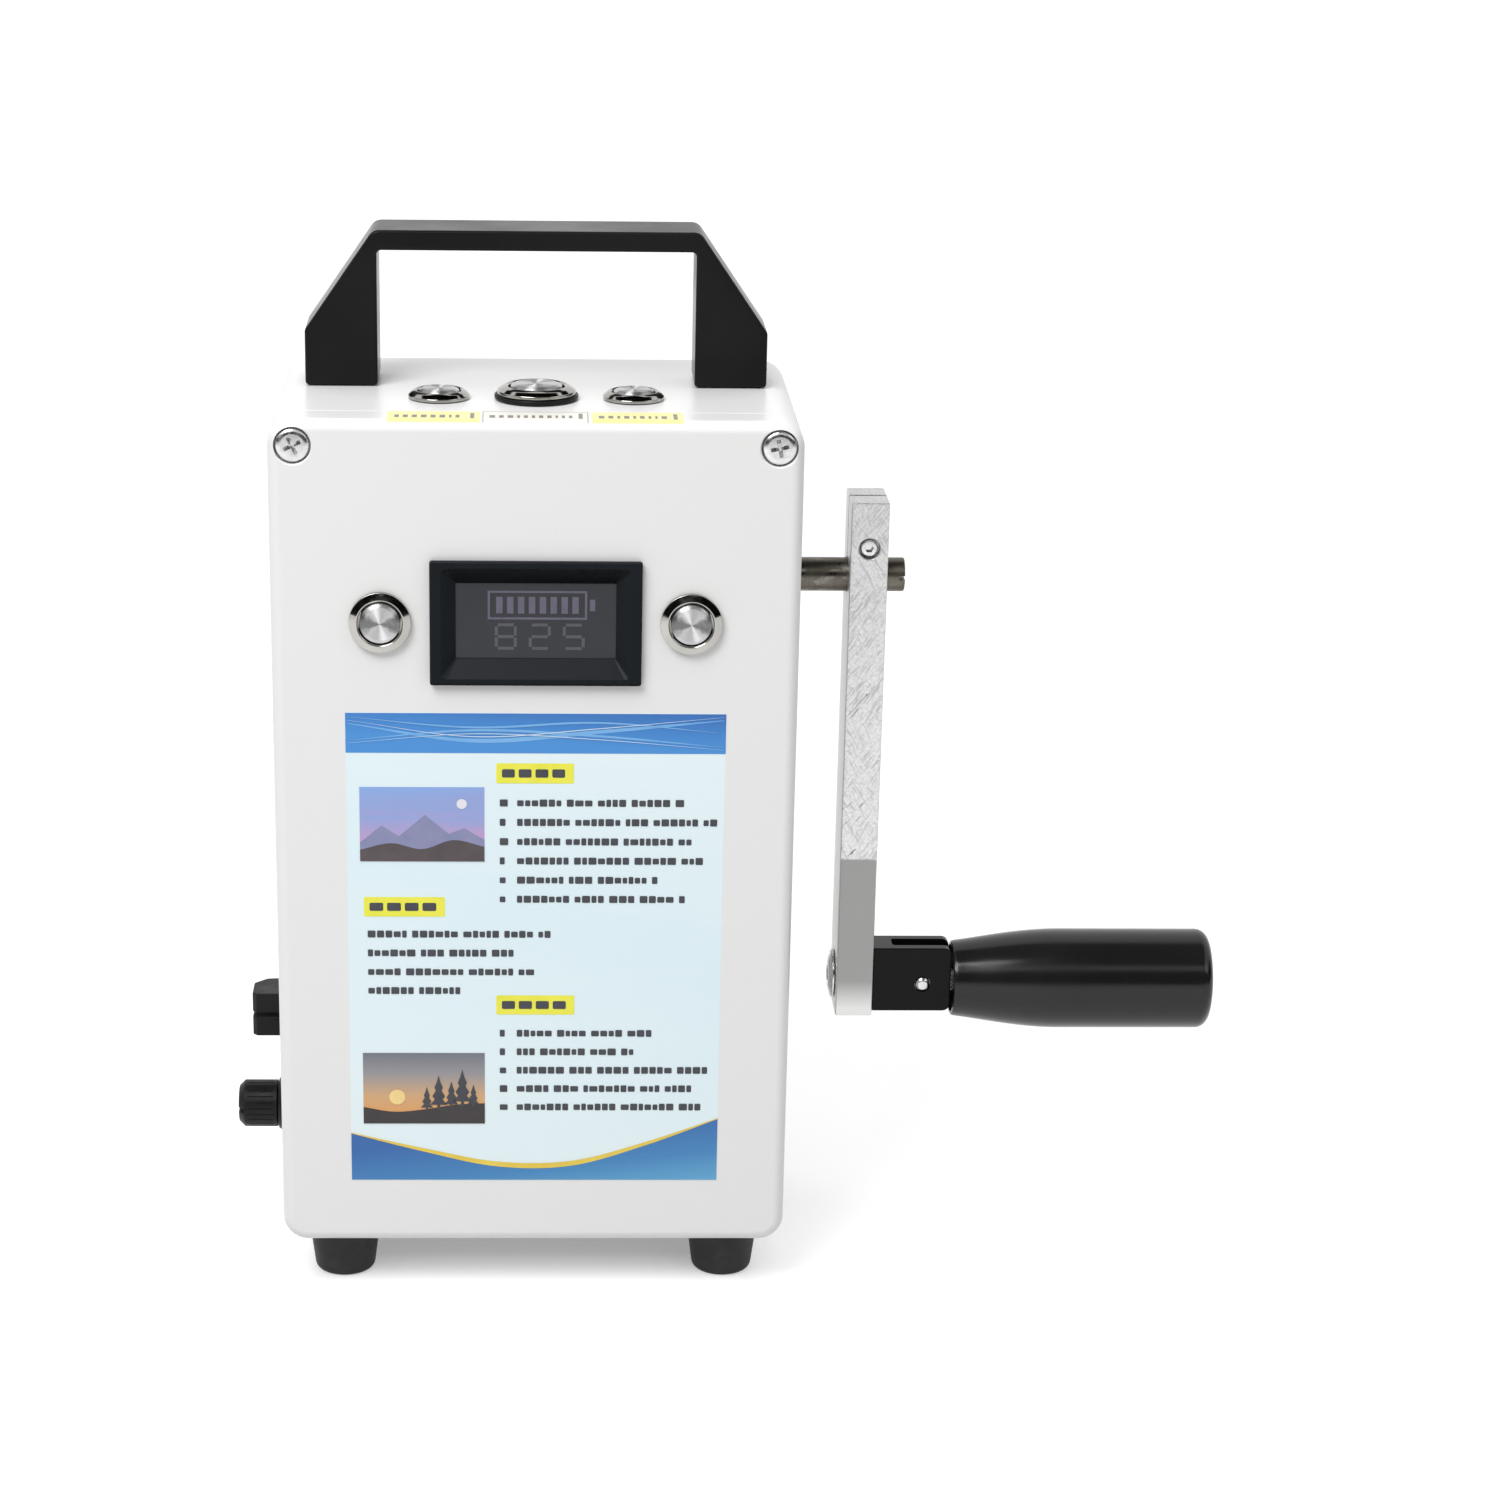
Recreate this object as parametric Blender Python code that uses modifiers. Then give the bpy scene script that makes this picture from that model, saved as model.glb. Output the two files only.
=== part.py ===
"""Hand crank generator: a portable box with a folding crank, gear train, generator and battery.

Units are metres and +Z is up. The front panel faces -Y and the crank is on the +X side.
Every size below is in the box frame: x = 0 and y = 0 at the middle of the box, z = 0 under
the feet. The empty "generator_frame" then moves the whole object so that the origin is at
the middle of its bounding box, on the floor.
"""

from math import acos, asin, cos, pi, radians, sin, tan

import bmesh
import bpy
from mathutils import Euler, Matrix, Vector

# Box: a moulded enclosure in two halves that meet at a seam behind the front panel
BOX_WIDTH = 0.120
BOX_DEPTH = 0.075
BOX_HEIGHT = 0.200
WALL = 0.0025
COVER_DEPTH = 0.0106
CORNER_RADIUS = 0.006
BACK_EDGE_RADIUS = 0.0033
FRONT_EDGE_RADIUS = 0.0028
GAP = 0.0003
RUNNING = 0.00015

# Facets around the round features, from the grip's barrel down to the board's posts
GRIP_STEPS = 20
ROUND_STEPS = 18
BARREL_STEPS = 16
PLUG_STEPS = 14
SMALL_STEPS = 12
POST_STEPS = 8

# Feet
FOOT_HEIGHT = 0.013
FOOT_TOP_RADIUS = 0.00875
FOOT_BOTTOM_RADIUS = 0.0071
FOOT_X = 0.046
FOOT_Y = 0.0225
FOOT_STEM_RADIUS = 0.0027
FOOT_BARB_RADIUS = 0.0035
FOOT_BARB_TIP_RADIUS = 0.0020
FOOT_BARB_LENGTH = 0.0030

# Places that follow from the box and the feet
BOX_BOTTOM = FOOT_HEIGHT
BOX_TOP = FOOT_HEIGHT + BOX_HEIGHT
BOX_FRONT = -BOX_DEPTH / 2
BOX_BACK = BOX_DEPTH / 2
BOX_SIDE = BOX_WIDTH / 2
SEAM_Y = BOX_FRONT + COVER_DEPTH

# Cover screws, only in the top corners: through a post of the cover into one of the housing
COVER_SCREW_X = 0.0543
COVER_SCREW_DROP = 0.0058
COVER_SCREW_HEAD_RADIUS = 0.0038
COVER_SCREW_HEAD_HEIGHT = 0.0022
COVER_SCREW_SHANK = 0.0015
COVER_SCREW_LENGTH = 0.017
COUNTERBORE_RADIUS = 0.0042
COUNTERBORE_DEPTH = 0.0026
COVER_POST_RADIUS = 0.0052
HOUSING_POST_RADIUS = 0.0038
CLEARANCE_HOLE_RADIUS = 0.0023
PILOT_HOLE_RADIUS = 0.0018
PILOT_HOLE_DEPTH = 0.0135

# Cover hooks: two moulded tongues on the cover's lower edge catch in the housing's floor
HOOK_X = 0.030
HOOK_HALF = 0.006
HOOK_Y = (-0.0225, -0.0195)

# Carry handle
HANDLE_WIDTH = 0.1068
HANDLE_OPENING = 0.0733
HANDLE_RISE = 0.036
HANDLE_BAR = 0.0046
HANDLE_SHOULDER = 0.013
HANDLE_TOP_HALF = 0.0375
HANDLE_DEPTH = 0.0165
HANDLE_Y = 0.00825
HANDLE_ROUNDING = 0.0011
HANDLE_SCREW_X = (HANDLE_WIDTH + HANDLE_OPENING) / 4
HANDLE_SCREW_HEAD_RADIUS = 0.0042
HANDLE_SCREW_HEAD_HEIGHT = 0.0028
HANDLE_SCREW_SHANK = 0.0022
HANDLE_SCREW_LENGTH = 0.0118
HANDLE_BORE_RADIUS = 0.0025
HANDLE_BORE_DEPTH = 0.010

# Panel meter
METER_WIDTH = 0.048
METER_HEIGHT = 0.029
METER_PROUD = 0.002
METER_DROP = 0.046
WINDOW_WIDTH = 0.036
WINDOW_HEIGHT = 0.0172
WINDOW_Y = (-0.0362, -0.0350)
METER_BODY_HALF_WIDTH = 0.0225
METER_BODY_HALF_HEIGHT = 0.0130
METER_BODY_BACK_Y = -0.0190
METER_BODY_WALL = 0.0020
METER_BORDER = (0.0025, 0.0016)
METER_BOARD_Y = (-0.0290, -0.0274)
DISPLAY_HALF_WIDTH = 0.0170
DISPLAY_HALF_HEIGHT = 0.0085
DISPLAY_FRONT_Y = -0.0334

# Push buttons: bezels, barrels and travel; the dome is in shares of the radius and drops
SMALL_BEZEL_RADIUS = 0.007
LARGE_BEZEL_RADIUS = 0.009
BEZEL_OVER_BARREL = 0.001
BEZEL_CREST = 0.0018
BEZEL_LIP = 0.0002
BEZEL_DOME = ((0.78, 0), (0.90, 0.0007))
BUTTON_BORE_SHARE = 0.72
BUTTON_CAP_SHARE = 0.655
BUTTON_CAP_RISE = 0.0021
BUTTON_BORE_DEPTH = 0.0052
BUTTON_DEPTH = 0.018
BUTTON_TRAVEL = 0.0015
BUTTON_NUT_THICK = 0.0025
BUTTON_NUT_SHARE = 1.34
GASKET_THICK = 0.0009
GASKET_HALF_WIDTH = 0.0006
FRONT_BUTTON_X = 0.0352
TOP_BUTTON_X = 0.0222
TOP_BUTTON_Y = -0.0125

# Fuse holder, low on the left side: a screw cap in a flanged collar
FUSE_RISE = 0.0204
FUSE_PROUD = 0.0128
FUSE_BORE_RADIUS = 0.0043
FUSE_BORE_DEPTH = 0.018
FUSE_COLLAR_RADIUS = 0.0062
FUSE_COLLAR_PROUD = 0.0030
FUSE_FLANGE_RADIUS = 0.0074
FUSE_FLANGE_PROUD = 0.0010
FUSE_BARREL_RADIUS = 0.0057
FUSE_BARREL_DEPTH = 0.022
FUSE_CAP_RADIUS = 0.0059
FUSE_CAP_CHAMFER = 0.0014
FUSE_CAP_DEPTH = 0.012
FUSE_SLOT_HALF = 0.0006
FUSE_SLOT_DEPTH = 0.0014

# Push terminal: two levers over two wire holes
TERMINAL_RISE = 0.0455
TERMINAL_PROUD = 0.0088
TERMINAL_Y = (-0.016, 0.010)
TERMINAL_HALF = 0.0068
TERMINAL_DEPTH = 0.0140
POCKET_DEPTH = 0.0080
POCKET_HALF_WIDTH = 0.0085
LEVER_HINGE_X = -0.0570
LEVER_HINGE_Y = 0.0055
LEVER_HEEL_X = -0.0556
LEVER_FRONT_Y = -0.0044
LEVER_BACK_Y = 0.0074
LEVER_THICK = 0.0050
LEVER_SPACE = 0.0010
LEVER_CHAMFER = 0.0010
WIRE_HOLE_RADIUS = 0.0015
WIRE_HOLE_Y = -0.0120
WIRE_HOLE_DEPTH = 0.0065

# Charging jack and twin USB socket above the terminal
JACK_RISE = 0.085
JACK_PIN_RADIUS = 0.0009
JACK_PIN_POINT = 0.0002
JACK_BORE_RADIUS = 0.0029
JACK_BORE_DEPTH = 0.0095
JACK_NOSE_RADIUS = 0.0037
JACK_NOSE_LENGTH = 0.0028
JACK_BODY_RADIUS = 0.0052
JACK_DEPTH = 0.0130
USB_RISE = 0.115
USB_HALF_WIDTH = 0.0078
USB_HALF_HEIGHT = 0.0084
USB_DEPTH = 0.0155
PORT_HALF_WIDTH = 0.00625
PORT_HALF_HEIGHT = 0.0023
PORT_DEPTH = 0.0110
PORT_RISE = 0.0040
TONGUE_HALF_WIDTH = 0.0055
TONGUE_THICK = 0.0017
TONGUE_SETBACK = 0.0005

# Rear outlet
OUTLET_RISE = 0.150
OUTLET_PROUD = 0.0024
OUTLET_HALF_WIDTH = 0.0150
OUTLET_HALF_HEIGHT = 0.0110
OUTLET_RIM = 0.0030
OUTLET_ROUNDING = 0.0006
OUTLET_FRONT_Y = 0.0200
BLADE_X = 0.00635
BLADE_HALF_THICK = 0.0011
BLADE_HALF_HEIGHT = 0.0038
BLADE_DEPTH = 0.0150

# Crank
SHAFT_RADIUS = 0.004
SHAFT_JOURNAL = 0.003
SHAFT_DROP = 0.044
SHAFT_TAIL = 0.0020
SHAFT_END_X = 0.087
SHAFT_CHAMFER = 0.0005
SHAFT_SLOT_HALF = 0.0005
SHAFT_SLOT_DEPTH = 0.0014
SHAFT_BUSHING_RADIUS = 0.0060
ARM_LEFT_X = 0.0735
ARM_RIGHT_X = 0.0824
ARM_DEPTH = 0.016
ARM_TOP_DROP = 0.025
ARM_BOTTOM_DROP = 0.153
ARM_CHAMFER = 0.0004
CLAMP_SLIT_HALF = 0.0005
CLAMP_SCREW_RISE = 0.008
CLAMP_HEAD_RADIUS = 0.0020
CLAMP_HEAD_HEIGHT = 0.0020
CLAMP_SHANK = 0.0012
CLAMP_LENGTH = 0.0092
CLAMP_BORE_RADIUS = 0.0025
CLAMP_BORE_DEPTH = 0.0032
CLAMP_HOLE_RADIUS = 0.0015
CLAMP_HOLE_DEPTH = 0.0135
CLAMP_SOCKET_RADIUS = 0.0010
CLAMP_SOCKET_DEPTH = 0.0014

# Folding grip
PIN_X = 0.0950
PIN_DROP = 0.146
PIN_RADIUS = 0.0017
PIN_EDGE = 0.0005
FORK_LEFT_X = 0.0827
FORK_RIGHT_X = 0.1019
FORK_ABOVE = 0.0093
FORK_BELOW = 0.0070
FORK_DEPTH = 0.0094
FORK_SLOT = 0.0046
FORK_SLOT_LENGTH = 0.0144
FORK_CORNER = 0.0020
FORK_SCREW_RISE = 0.0012
FORK_SCREW_HEAD_RADIUS = 0.0060
FORK_SCREW_HEAD_HEIGHT = 0.0013
FORK_SCREW_SHANK = 0.0022
FORK_SCREW_LENGTH = 0.0125
FORK_BORE_RADIUS = 0.0025
FORK_BORE_DEPTH = 0.0063
GRIP_START_X = 0.1023
GRIP_END_X = 0.1656
GRIP_SMALL_RADIUS = 0.00925
GRIP_LARGE_RADIUS = 0.0122
GRIP_TAPER_END_X = 0.1290
GRIP_TAPER_EASE = 1.2
GRIP_END_ROUND = 0.0030
GRIP_LIP = 0.0005
GRIP_RIM_RADIUS = 0.0083
SPINDLE_RADIUS = 0.0034
SPINDLE_ROD_X = PIN_X + 0.0112
SPINDLE_END_X = 0.1580
SPINDLE_EYE_RADIUS = 0.0056
SPINDLE_NECK_HALF = 0.0025
SPINDLE_TONGUE_THICK = 0.0040
GRIP_SCREW_HEAD_RADIUS = 0.0054
GRIP_SCREW_HEAD_HEIGHT = 0.0022
GRIP_SCREW_SHANK = 0.0013
GRIP_SCREW_LENGTH = 0.0075
TAPPED_HOLE_RADIUS = 0.0016
TAPPED_HOLE_DEPTH = 0.009
BORE_FLOOR_X = GRIP_START_X + 0.0015
CAVITY_X = 0.1455
CAVITY_RADIUS = 0.0064
BUSHING_INNER = SPINDLE_RADIUS + RUNNING
BUSHING_OUTER = 0.0050
BUSHING_FLANGE_RADIUS = 0.0060
BUSHING_FLANGE_THICK = 0.0012
PLUG_THICK = 0.0018
PLUG_CHAMFER = 0.0004

# Gear train: crank gear to compound pinion, compound wheel to rotor pinion
MODULE = 0.001
CRANK_TEETH = 48
WHEEL_TEETH = 40
PINION_TEETH = 12
PRESSURE_ANGLE = radians(20)
ADDENDUM = 0.75 * MODULE
DEDENDUM = 1.10 * MODULE
BACKLASH = 0.00014
FIRST_STAGE_X = (0.0456, 0.0501)
SECOND_STAGE_X = (0.0507, 0.0543)
ARBOR_RADIUS = 0.0022
INNER_PLATE_X = (0.0428, 0.0448)
OUTER_PLATE_X = (0.0547, 0.0562)
PLATE_Y = (-0.026, 0.028)
PLATE_Z = (0.092, 0.197)
PLATE_CORNER = 0.004
PILLAR_RADIUS = 0.0028
PILLAR_INSET = 0.0045
LIGHTENING_HOLES = 5
LIGHTENING_RADIUS = 0.0042
LIGHTENING_RING = 0.0140

# Generator and battery
GENERATOR_X = (0.014, INNER_PLATE_X[0] - GAP)
GENERATOR_RADIUS = 0.0180
CAN_THICK = 0.0015
STATOR_LENGTH = 0.016
STATOR_POLES = 9
SLOT_RADIUS = 0.0140
POLE_RADIUS = 0.0108
POLE_TIP_THICK = 0.0012
SLOT_HALF_ANGLE = 0.36
TOOTH_HALF_ANGLE = 0.17
POLE_HALF_ANGLE = 0.27
ROTOR_SHAFT = 0.0020
ROTOR_RADIUS = 0.0100
ROTOR_HALF_LENGTH = 0.009
ROTOR_TAIL = 0.001
CELL_RADIUS = 0.0092
CELL_LENGTH = 0.065
CELL_PITCH = 0.0180
PACK_X = -0.026
RIB_HEIGHT = 0.0028
RIB_HALF_THICK = 0.0010
RIB_INSET = 0.010
RIB_Y = (-0.015, 0.028)

# Inverter board: its corners stand on four posts of the rear wall
BOARD_X = (-0.052, 0.036)
BOARD_Z = (0.056, 0.148)
BOARD_THICK = 0.0016
POST_LENGTH = 0.0040
POST_RADIUS = 0.0025
POST_INSET = 0.0035
SINK_FINS = 5
FIN_PITCH = 0.0040
FIN_THICK = 0.0018
FIN_HEIGHT = 0.0140
SINK_BASE = 0.0030
SINK_MARGIN = 0.0010
SINK_Z = (0.104, 0.134)
CAPACITOR_RADIUS = 0.0050
CAPACITOR_HEIGHT = 0.0140
CAPACITOR_X = (0.000, 0.014)
CAPACITOR_Z = 0.066
CORE_X = (-0.042, -0.016)
CORE_Z = (0.062, 0.092)
CORE_THICK = 0.022
CORE_ROUNDING = 0.0008
COIL_MARGIN = (0.003, 0.006)
COIL_PROUD = 0.0030

# Places that follow from the sizes above
SHAFT_Z = BOX_TOP - SHAFT_DROP
PIN_Z = BOX_TOP - PIN_DROP
ARM_TOP_Z = BOX_TOP - ARM_TOP_DROP
FORK_SCREW_Z = PIN_Z + FORK_SCREW_RISE
ARM_BOTTOM_Z = BOX_TOP - ARM_BOTTOM_DROP
ARM_X = (ARM_LEFT_X + ARM_RIGHT_X) / 2
METER_Z = BOX_TOP - METER_DROP
COVER_SCREW_Z = BOX_TOP - COVER_SCREW_DROP
FUSE_Z = BOX_BOTTOM + FUSE_RISE
TERMINAL_Z = BOX_BOTTOM + TERMINAL_RISE
JACK_Z = BOX_BOTTOM + JACK_RISE
USB_Z = BOX_BOTTOM + USB_RISE
OUTLET_Z = BOX_BOTTOM + OUTLET_RISE
FIRST_CENTRES = MODULE * (CRANK_TEETH + PINION_TEETH) / 2
SECOND_CENTRES = MODULE * (WHEEL_TEETH + PINION_TEETH) / 2
COMPOUND_Z = SHAFT_Z - FIRST_CENTRES
ROTOR_Z = COMPOUND_Z - SECOND_CENTRES
ORIGIN_X = (GRIP_END_X - BOX_SIDE - FUSE_PROUD) / 2

# Turns that lay local Z along a frame direction
ALONG = {
    "+X": (0, pi / 2, 0),
    "-X": (0, -pi / 2, 0),
    "-Y": (pi / 2, 0, 0),
    "+Y": (-pi / 2, 0, 0),
    "+Z": (0, 0, 0),
    "-Z": (pi, 0, 0),
}
# Turns that lay a flat outline in a plane: its x and y become the two named axes
IN_PLANE = {"XZ": (pi / 2, 0, 0), "YZ": (pi / 2, 0, pi / 2), "XY": (0, 0, 0)}

# The two cover screws
COVER_SCREWS = (("left", -COVER_SCREW_X), ("right", COVER_SCREW_X))
# A pan head's outline, as shares of the head's radius and height
PAN_HEAD = ((0, 1), (0.62, 0.94), (1, 0.45), (1, 0))

FINISHES = {
    "white_plastic": ((0.86, 0.86, 0.85), 0.28, 0.0),
    "black_plastic": ((0.02, 0.02, 0.022), 0.32, 0.0),
    "black_gloss": ((0.012, 0.012, 0.013), 0.15, 0.0),
    "rubber": ((0.03, 0.03, 0.032), 0.75, 0.0),
    "nickel": ((0.68, 0.66, 0.62), 0.18, 1.0),
    "steel": ((0.60, 0.60, 0.60), 0.30, 1.0),
    "aluminium": ((0.72, 0.72, 0.73), 0.36, 1.0),
    "brass": ((0.70, 0.52, 0.24), 0.30, 1.0),
    "window": ((0.16, 0.17, 0.20), 0.08, 0.0),
    "board": ((0.05, 0.22, 0.10), 0.55, 0.0),
    "battery": ((0.10, 0.25, 0.55), 0.45, 0.0),
    "laminations": ((0.30, 0.28, 0.26), 0.50, 1.0),
}


def clear_scene():
    for obj in list(bpy.data.objects):
        bpy.data.objects.remove(obj)


def new_collection(name):
    collection = bpy.data.collections.new(name)
    bpy.context.scene.collection.children.link(collection)
    return collection


clear_scene()
PARTS = new_collection("hand_crank_generator")
TOOLS = new_collection("cutters")
FRAME = bpy.data.objects.new("generator_frame", None)
FRAME.location = (-ORIGIN_X, 0, 0)
PARTS.objects.link(FRAME)


def finish_material(name):
    """The Principled material of one finish, made the first time it is asked for."""
    found = bpy.data.materials.get(name)
    if found:
        return found
    colour, roughness, metallic = FINISHES[name]
    material = bpy.data.materials.new(name)
    material.use_nodes = True
    shader = material.node_tree.nodes["Principled BSDF"]
    shader.inputs["Base Color"].default_value = (*colour, 1)
    shader.inputs["Roughness"].default_value = roughness
    shader.inputs["Metallic"].default_value = metallic
    return material


def place_part(obj, finish, location=(0, 0, 0), rotation=(0, 0, 0)):
    """Put an object among the parts, with a material named for the part itself."""
    PARTS.objects.link(obj)
    obj.parent = FRAME
    obj.location = location
    obj.rotation_euler = rotation
    material = finish_material(finish).copy()
    material.name = obj.name
    obj.data.materials.clear()
    obj.data.materials.append(material)
    return obj


def tool(name, bm):
    """A hidden solid that cuts or joins a part, drawn in the box frame."""
    mesh = bpy.data.meshes.new(name)
    bm.to_mesh(mesh)
    bm.free()
    obj = bpy.data.objects.new(name, mesh)
    TOOLS.objects.link(obj)
    obj.parent = FRAME
    obj.hide_render = True
    obj.display_type = "WIRE"
    return obj


def boolean(obj, other, operation):
    modifier = obj.modifiers.new(f"{operation.lower()} {other.name}", "BOOLEAN")
    modifier.operation = operation
    modifier.object = other
    return obj


def cut(obj, bm):
    return boolean(obj, tool(f"{obj.name}_cut_{len(obj.modifiers)}", bm), "DIFFERENCE")


def join(obj, bm):
    return boolean(obj, tool(f"{obj.name}_add_{len(obj.modifiers)}", bm), "UNION")


def evaluated_mesh(obj):
    bpy.context.view_layer.update()
    graph = bpy.context.evaluated_depsgraph_get()
    return bpy.data.meshes.new_from_object(obj.evaluated_get(graph))


def shade(mesh, angle=radians(35)):
    mesh.shade_smooth()
    mesh.set_sharp_from_angle(angle=angle)


def add_block(bm, low, high):
    """A box between two corners."""
    size = [high[axis] - low[axis] for axis in range(3)]
    middle = [(high[axis] + low[axis]) / 2 for axis in range(3)]
    matrix = Matrix.Translation(middle) @ Matrix.Diagonal((*size, 1))
    return bmesh.ops.create_cube(bm, size=1, matrix=matrix)["verts"]


def add_rod(bm, radius, start, length, direction, steps):
    """A cylinder that starts at a point and runs along a frame direction."""
    turn = Euler(ALONG[direction]).to_matrix().to_4x4()
    matrix = Matrix.Translation(start) @ turn @ Matrix.Translation((0, 0, length / 2))
    bmesh.ops.create_cone(bm, cap_ends=True, segments=steps, radius1=radius, radius2=radius,
                          depth=length, matrix=matrix)


def blocks(*corners):
    bm = bmesh.new()
    for low, high in corners:
        add_block(bm, low, high)
    return bm


def rods(*rows, steps=BARREL_STEPS):
    bm = bmesh.new()
    for radius, start, length, direction in rows:
        add_rod(bm, radius, start, length, direction, steps)
    return bm


def block_part(name, low, high, finish, rounding=0.0, segments=1):
    """A box with all its edges rounded."""
    middle = [(high[axis] + low[axis]) / 2 for axis in range(3)]
    bm = bmesh.new()
    add_block(bm, [low[axis] - middle[axis] for axis in range(3)],
              [high[axis] - middle[axis] for axis in range(3)])
    mesh = bpy.data.meshes.new(name)
    bm.to_mesh(mesh)
    bm.free()
    obj = place_part(bpy.data.objects.new(name, mesh), finish, middle)
    if rounding:
        bevel = obj.modifiers.new("rounded edges", "BEVEL")
        bevel.width = rounding
        bevel.segments = segments
    return obj


def turned(name, profile, location, direction, finish, steps=BARREL_STEPS, closed=False):
    """A turned piece: profile points are (radius, height), outer side running down."""
    bm = bmesh.new()
    points = [bm.verts.new((radius, 0, height)) for radius, height in profile]
    for first, second in zip(points, points[1:]):
        bm.edges.new((first, second))
    if closed:
        bm.edges.new((points[-1], points[0]))
    mesh = bpy.data.meshes.new(name)
    bm.to_mesh(mesh)
    bm.free()
    sketch = bpy.data.objects.new(f"{name}_profile", mesh)
    TOOLS.objects.link(sketch)
    screw = sketch.modifiers.new("turn", "SCREW")
    screw.steps = steps
    screw.render_steps = steps
    screw.use_merge_vertices = True
    screw.merge_threshold = 0.00001
    solid = evaluated_mesh(sketch)
    bpy.data.objects.remove(sketch)
    shade(solid)
    solid.name = name
    return place_part(bpy.data.objects.new(name, solid), finish, location, ALONG[direction])


def circle(radius, centre=(0, 0), steps=BARREL_STEPS):
    return [(centre[0] + radius * cos(2 * pi * step / steps),
             centre[1] + radius * sin(2 * pi * step / steps)) for step in range(steps)]


def outline_mesh(name, outlines, thickness):
    """The mesh of a flat outline with holes, extruded to a thickness about its plane."""
    curve = bpy.data.curves.new(name, "CURVE")
    curve.dimensions = "2D"
    curve.fill_mode = "BOTH"
    curve.extrude = thickness / 2
    for outline in outlines:
        spline = curve.splines.new("POLY")
        spline.points.add(len(outline) - 1)
        for point, (x, y) in zip(spline.points, outline):
            point.co = (x, y, 0, 1)
        spline.use_cyclic_u = True
    sketch = bpy.data.objects.new(f"{name}_outline", curve)
    TOOLS.objects.link(sketch)
    flat = evaluated_mesh(sketch)
    bpy.data.objects.remove(sketch)
    bpy.data.curves.remove(curve)
    bm = bmesh.new()
    bm.from_mesh(flat)
    bmesh.ops.remove_doubles(bm, verts=bm.verts, dist=0.000002)
    bmesh.ops.recalc_face_normals(bm, faces=bm.faces)
    bm.to_mesh(flat)
    bm.free()
    flat.name = name
    return flat


def plate(name, outlines, thickness, centre, plane, finish):
    """A flat piece lying in a plane of the frame, centred on its thickness."""
    mesh = outline_mesh(name, outlines, thickness)
    return place_part(bpy.data.objects.new(name, mesh), finish, centre, IN_PLANE[plane])


def rounded_rectangle(width, height, radius, steps):
    points = []
    for quarter, (across, up) in enumerate(((1, 1), (-1, 1), (-1, -1), (1, -1))):
        corner = (across * (width / 2 - radius), up * (height / 2 - radius))
        for step in range(steps + 1):
            angle = pi / 2 * (quarter + step / steps)
            points.append((corner[0] + radius * cos(angle), corner[1] + radius * sin(angle)))
    return points


# Housing

def shell_part(name, open_y, closed_y, edge_radius, finish):
    """Half of the box: a rounded tray grown outward from its inner surface with Solidify."""
    toward_closed = 1 if closed_y > open_y else -1
    inner_closed_y = closed_y - toward_closed * WALL
    bm = bmesh.new()
    add_block(bm, (-BOX_SIDE + WALL, min(open_y, inner_closed_y), BOX_BOTTOM + WALL),
              (BOX_SIDE - WALL, max(open_y, inner_closed_y), BOX_TOP - WALL))
    along_y = [edge for edge in bm.edges
               if abs(edge.verts[0].co.y - edge.verts[1].co.y) > WALL]
    bmesh.ops.bevel(bm, geom=along_y, offset=CORNER_RADIUS - WALL, segments=4,
                    profile=0.5, affect="EDGES")
    bm.faces.ensure_lookup_table()
    closed_face = max(bm.faces, key=lambda face: face.normal.y * toward_closed * face.calc_area())
    bmesh.ops.bevel(bm, geom=list(closed_face.edges), offset=edge_radius - WALL, segments=2,
                    profile=0.5, affect="EDGES")
    bm.faces.ensure_lookup_table()
    open_face = max(bm.faces, key=lambda face: -face.normal.y * toward_closed * face.calc_area())
    bmesh.ops.delete(bm, geom=[open_face], context="FACES_ONLY")
    mesh = bpy.data.meshes.new(name)
    bm.to_mesh(mesh)
    bm.free()
    obj = place_part(bpy.data.objects.new(name, mesh), finish)
    walls = obj.modifiers.new("walls", "SOLIDIFY")
    walls.thickness = WALL
    walls.offset = 1
    walls.use_even_offset = True
    return obj


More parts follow.
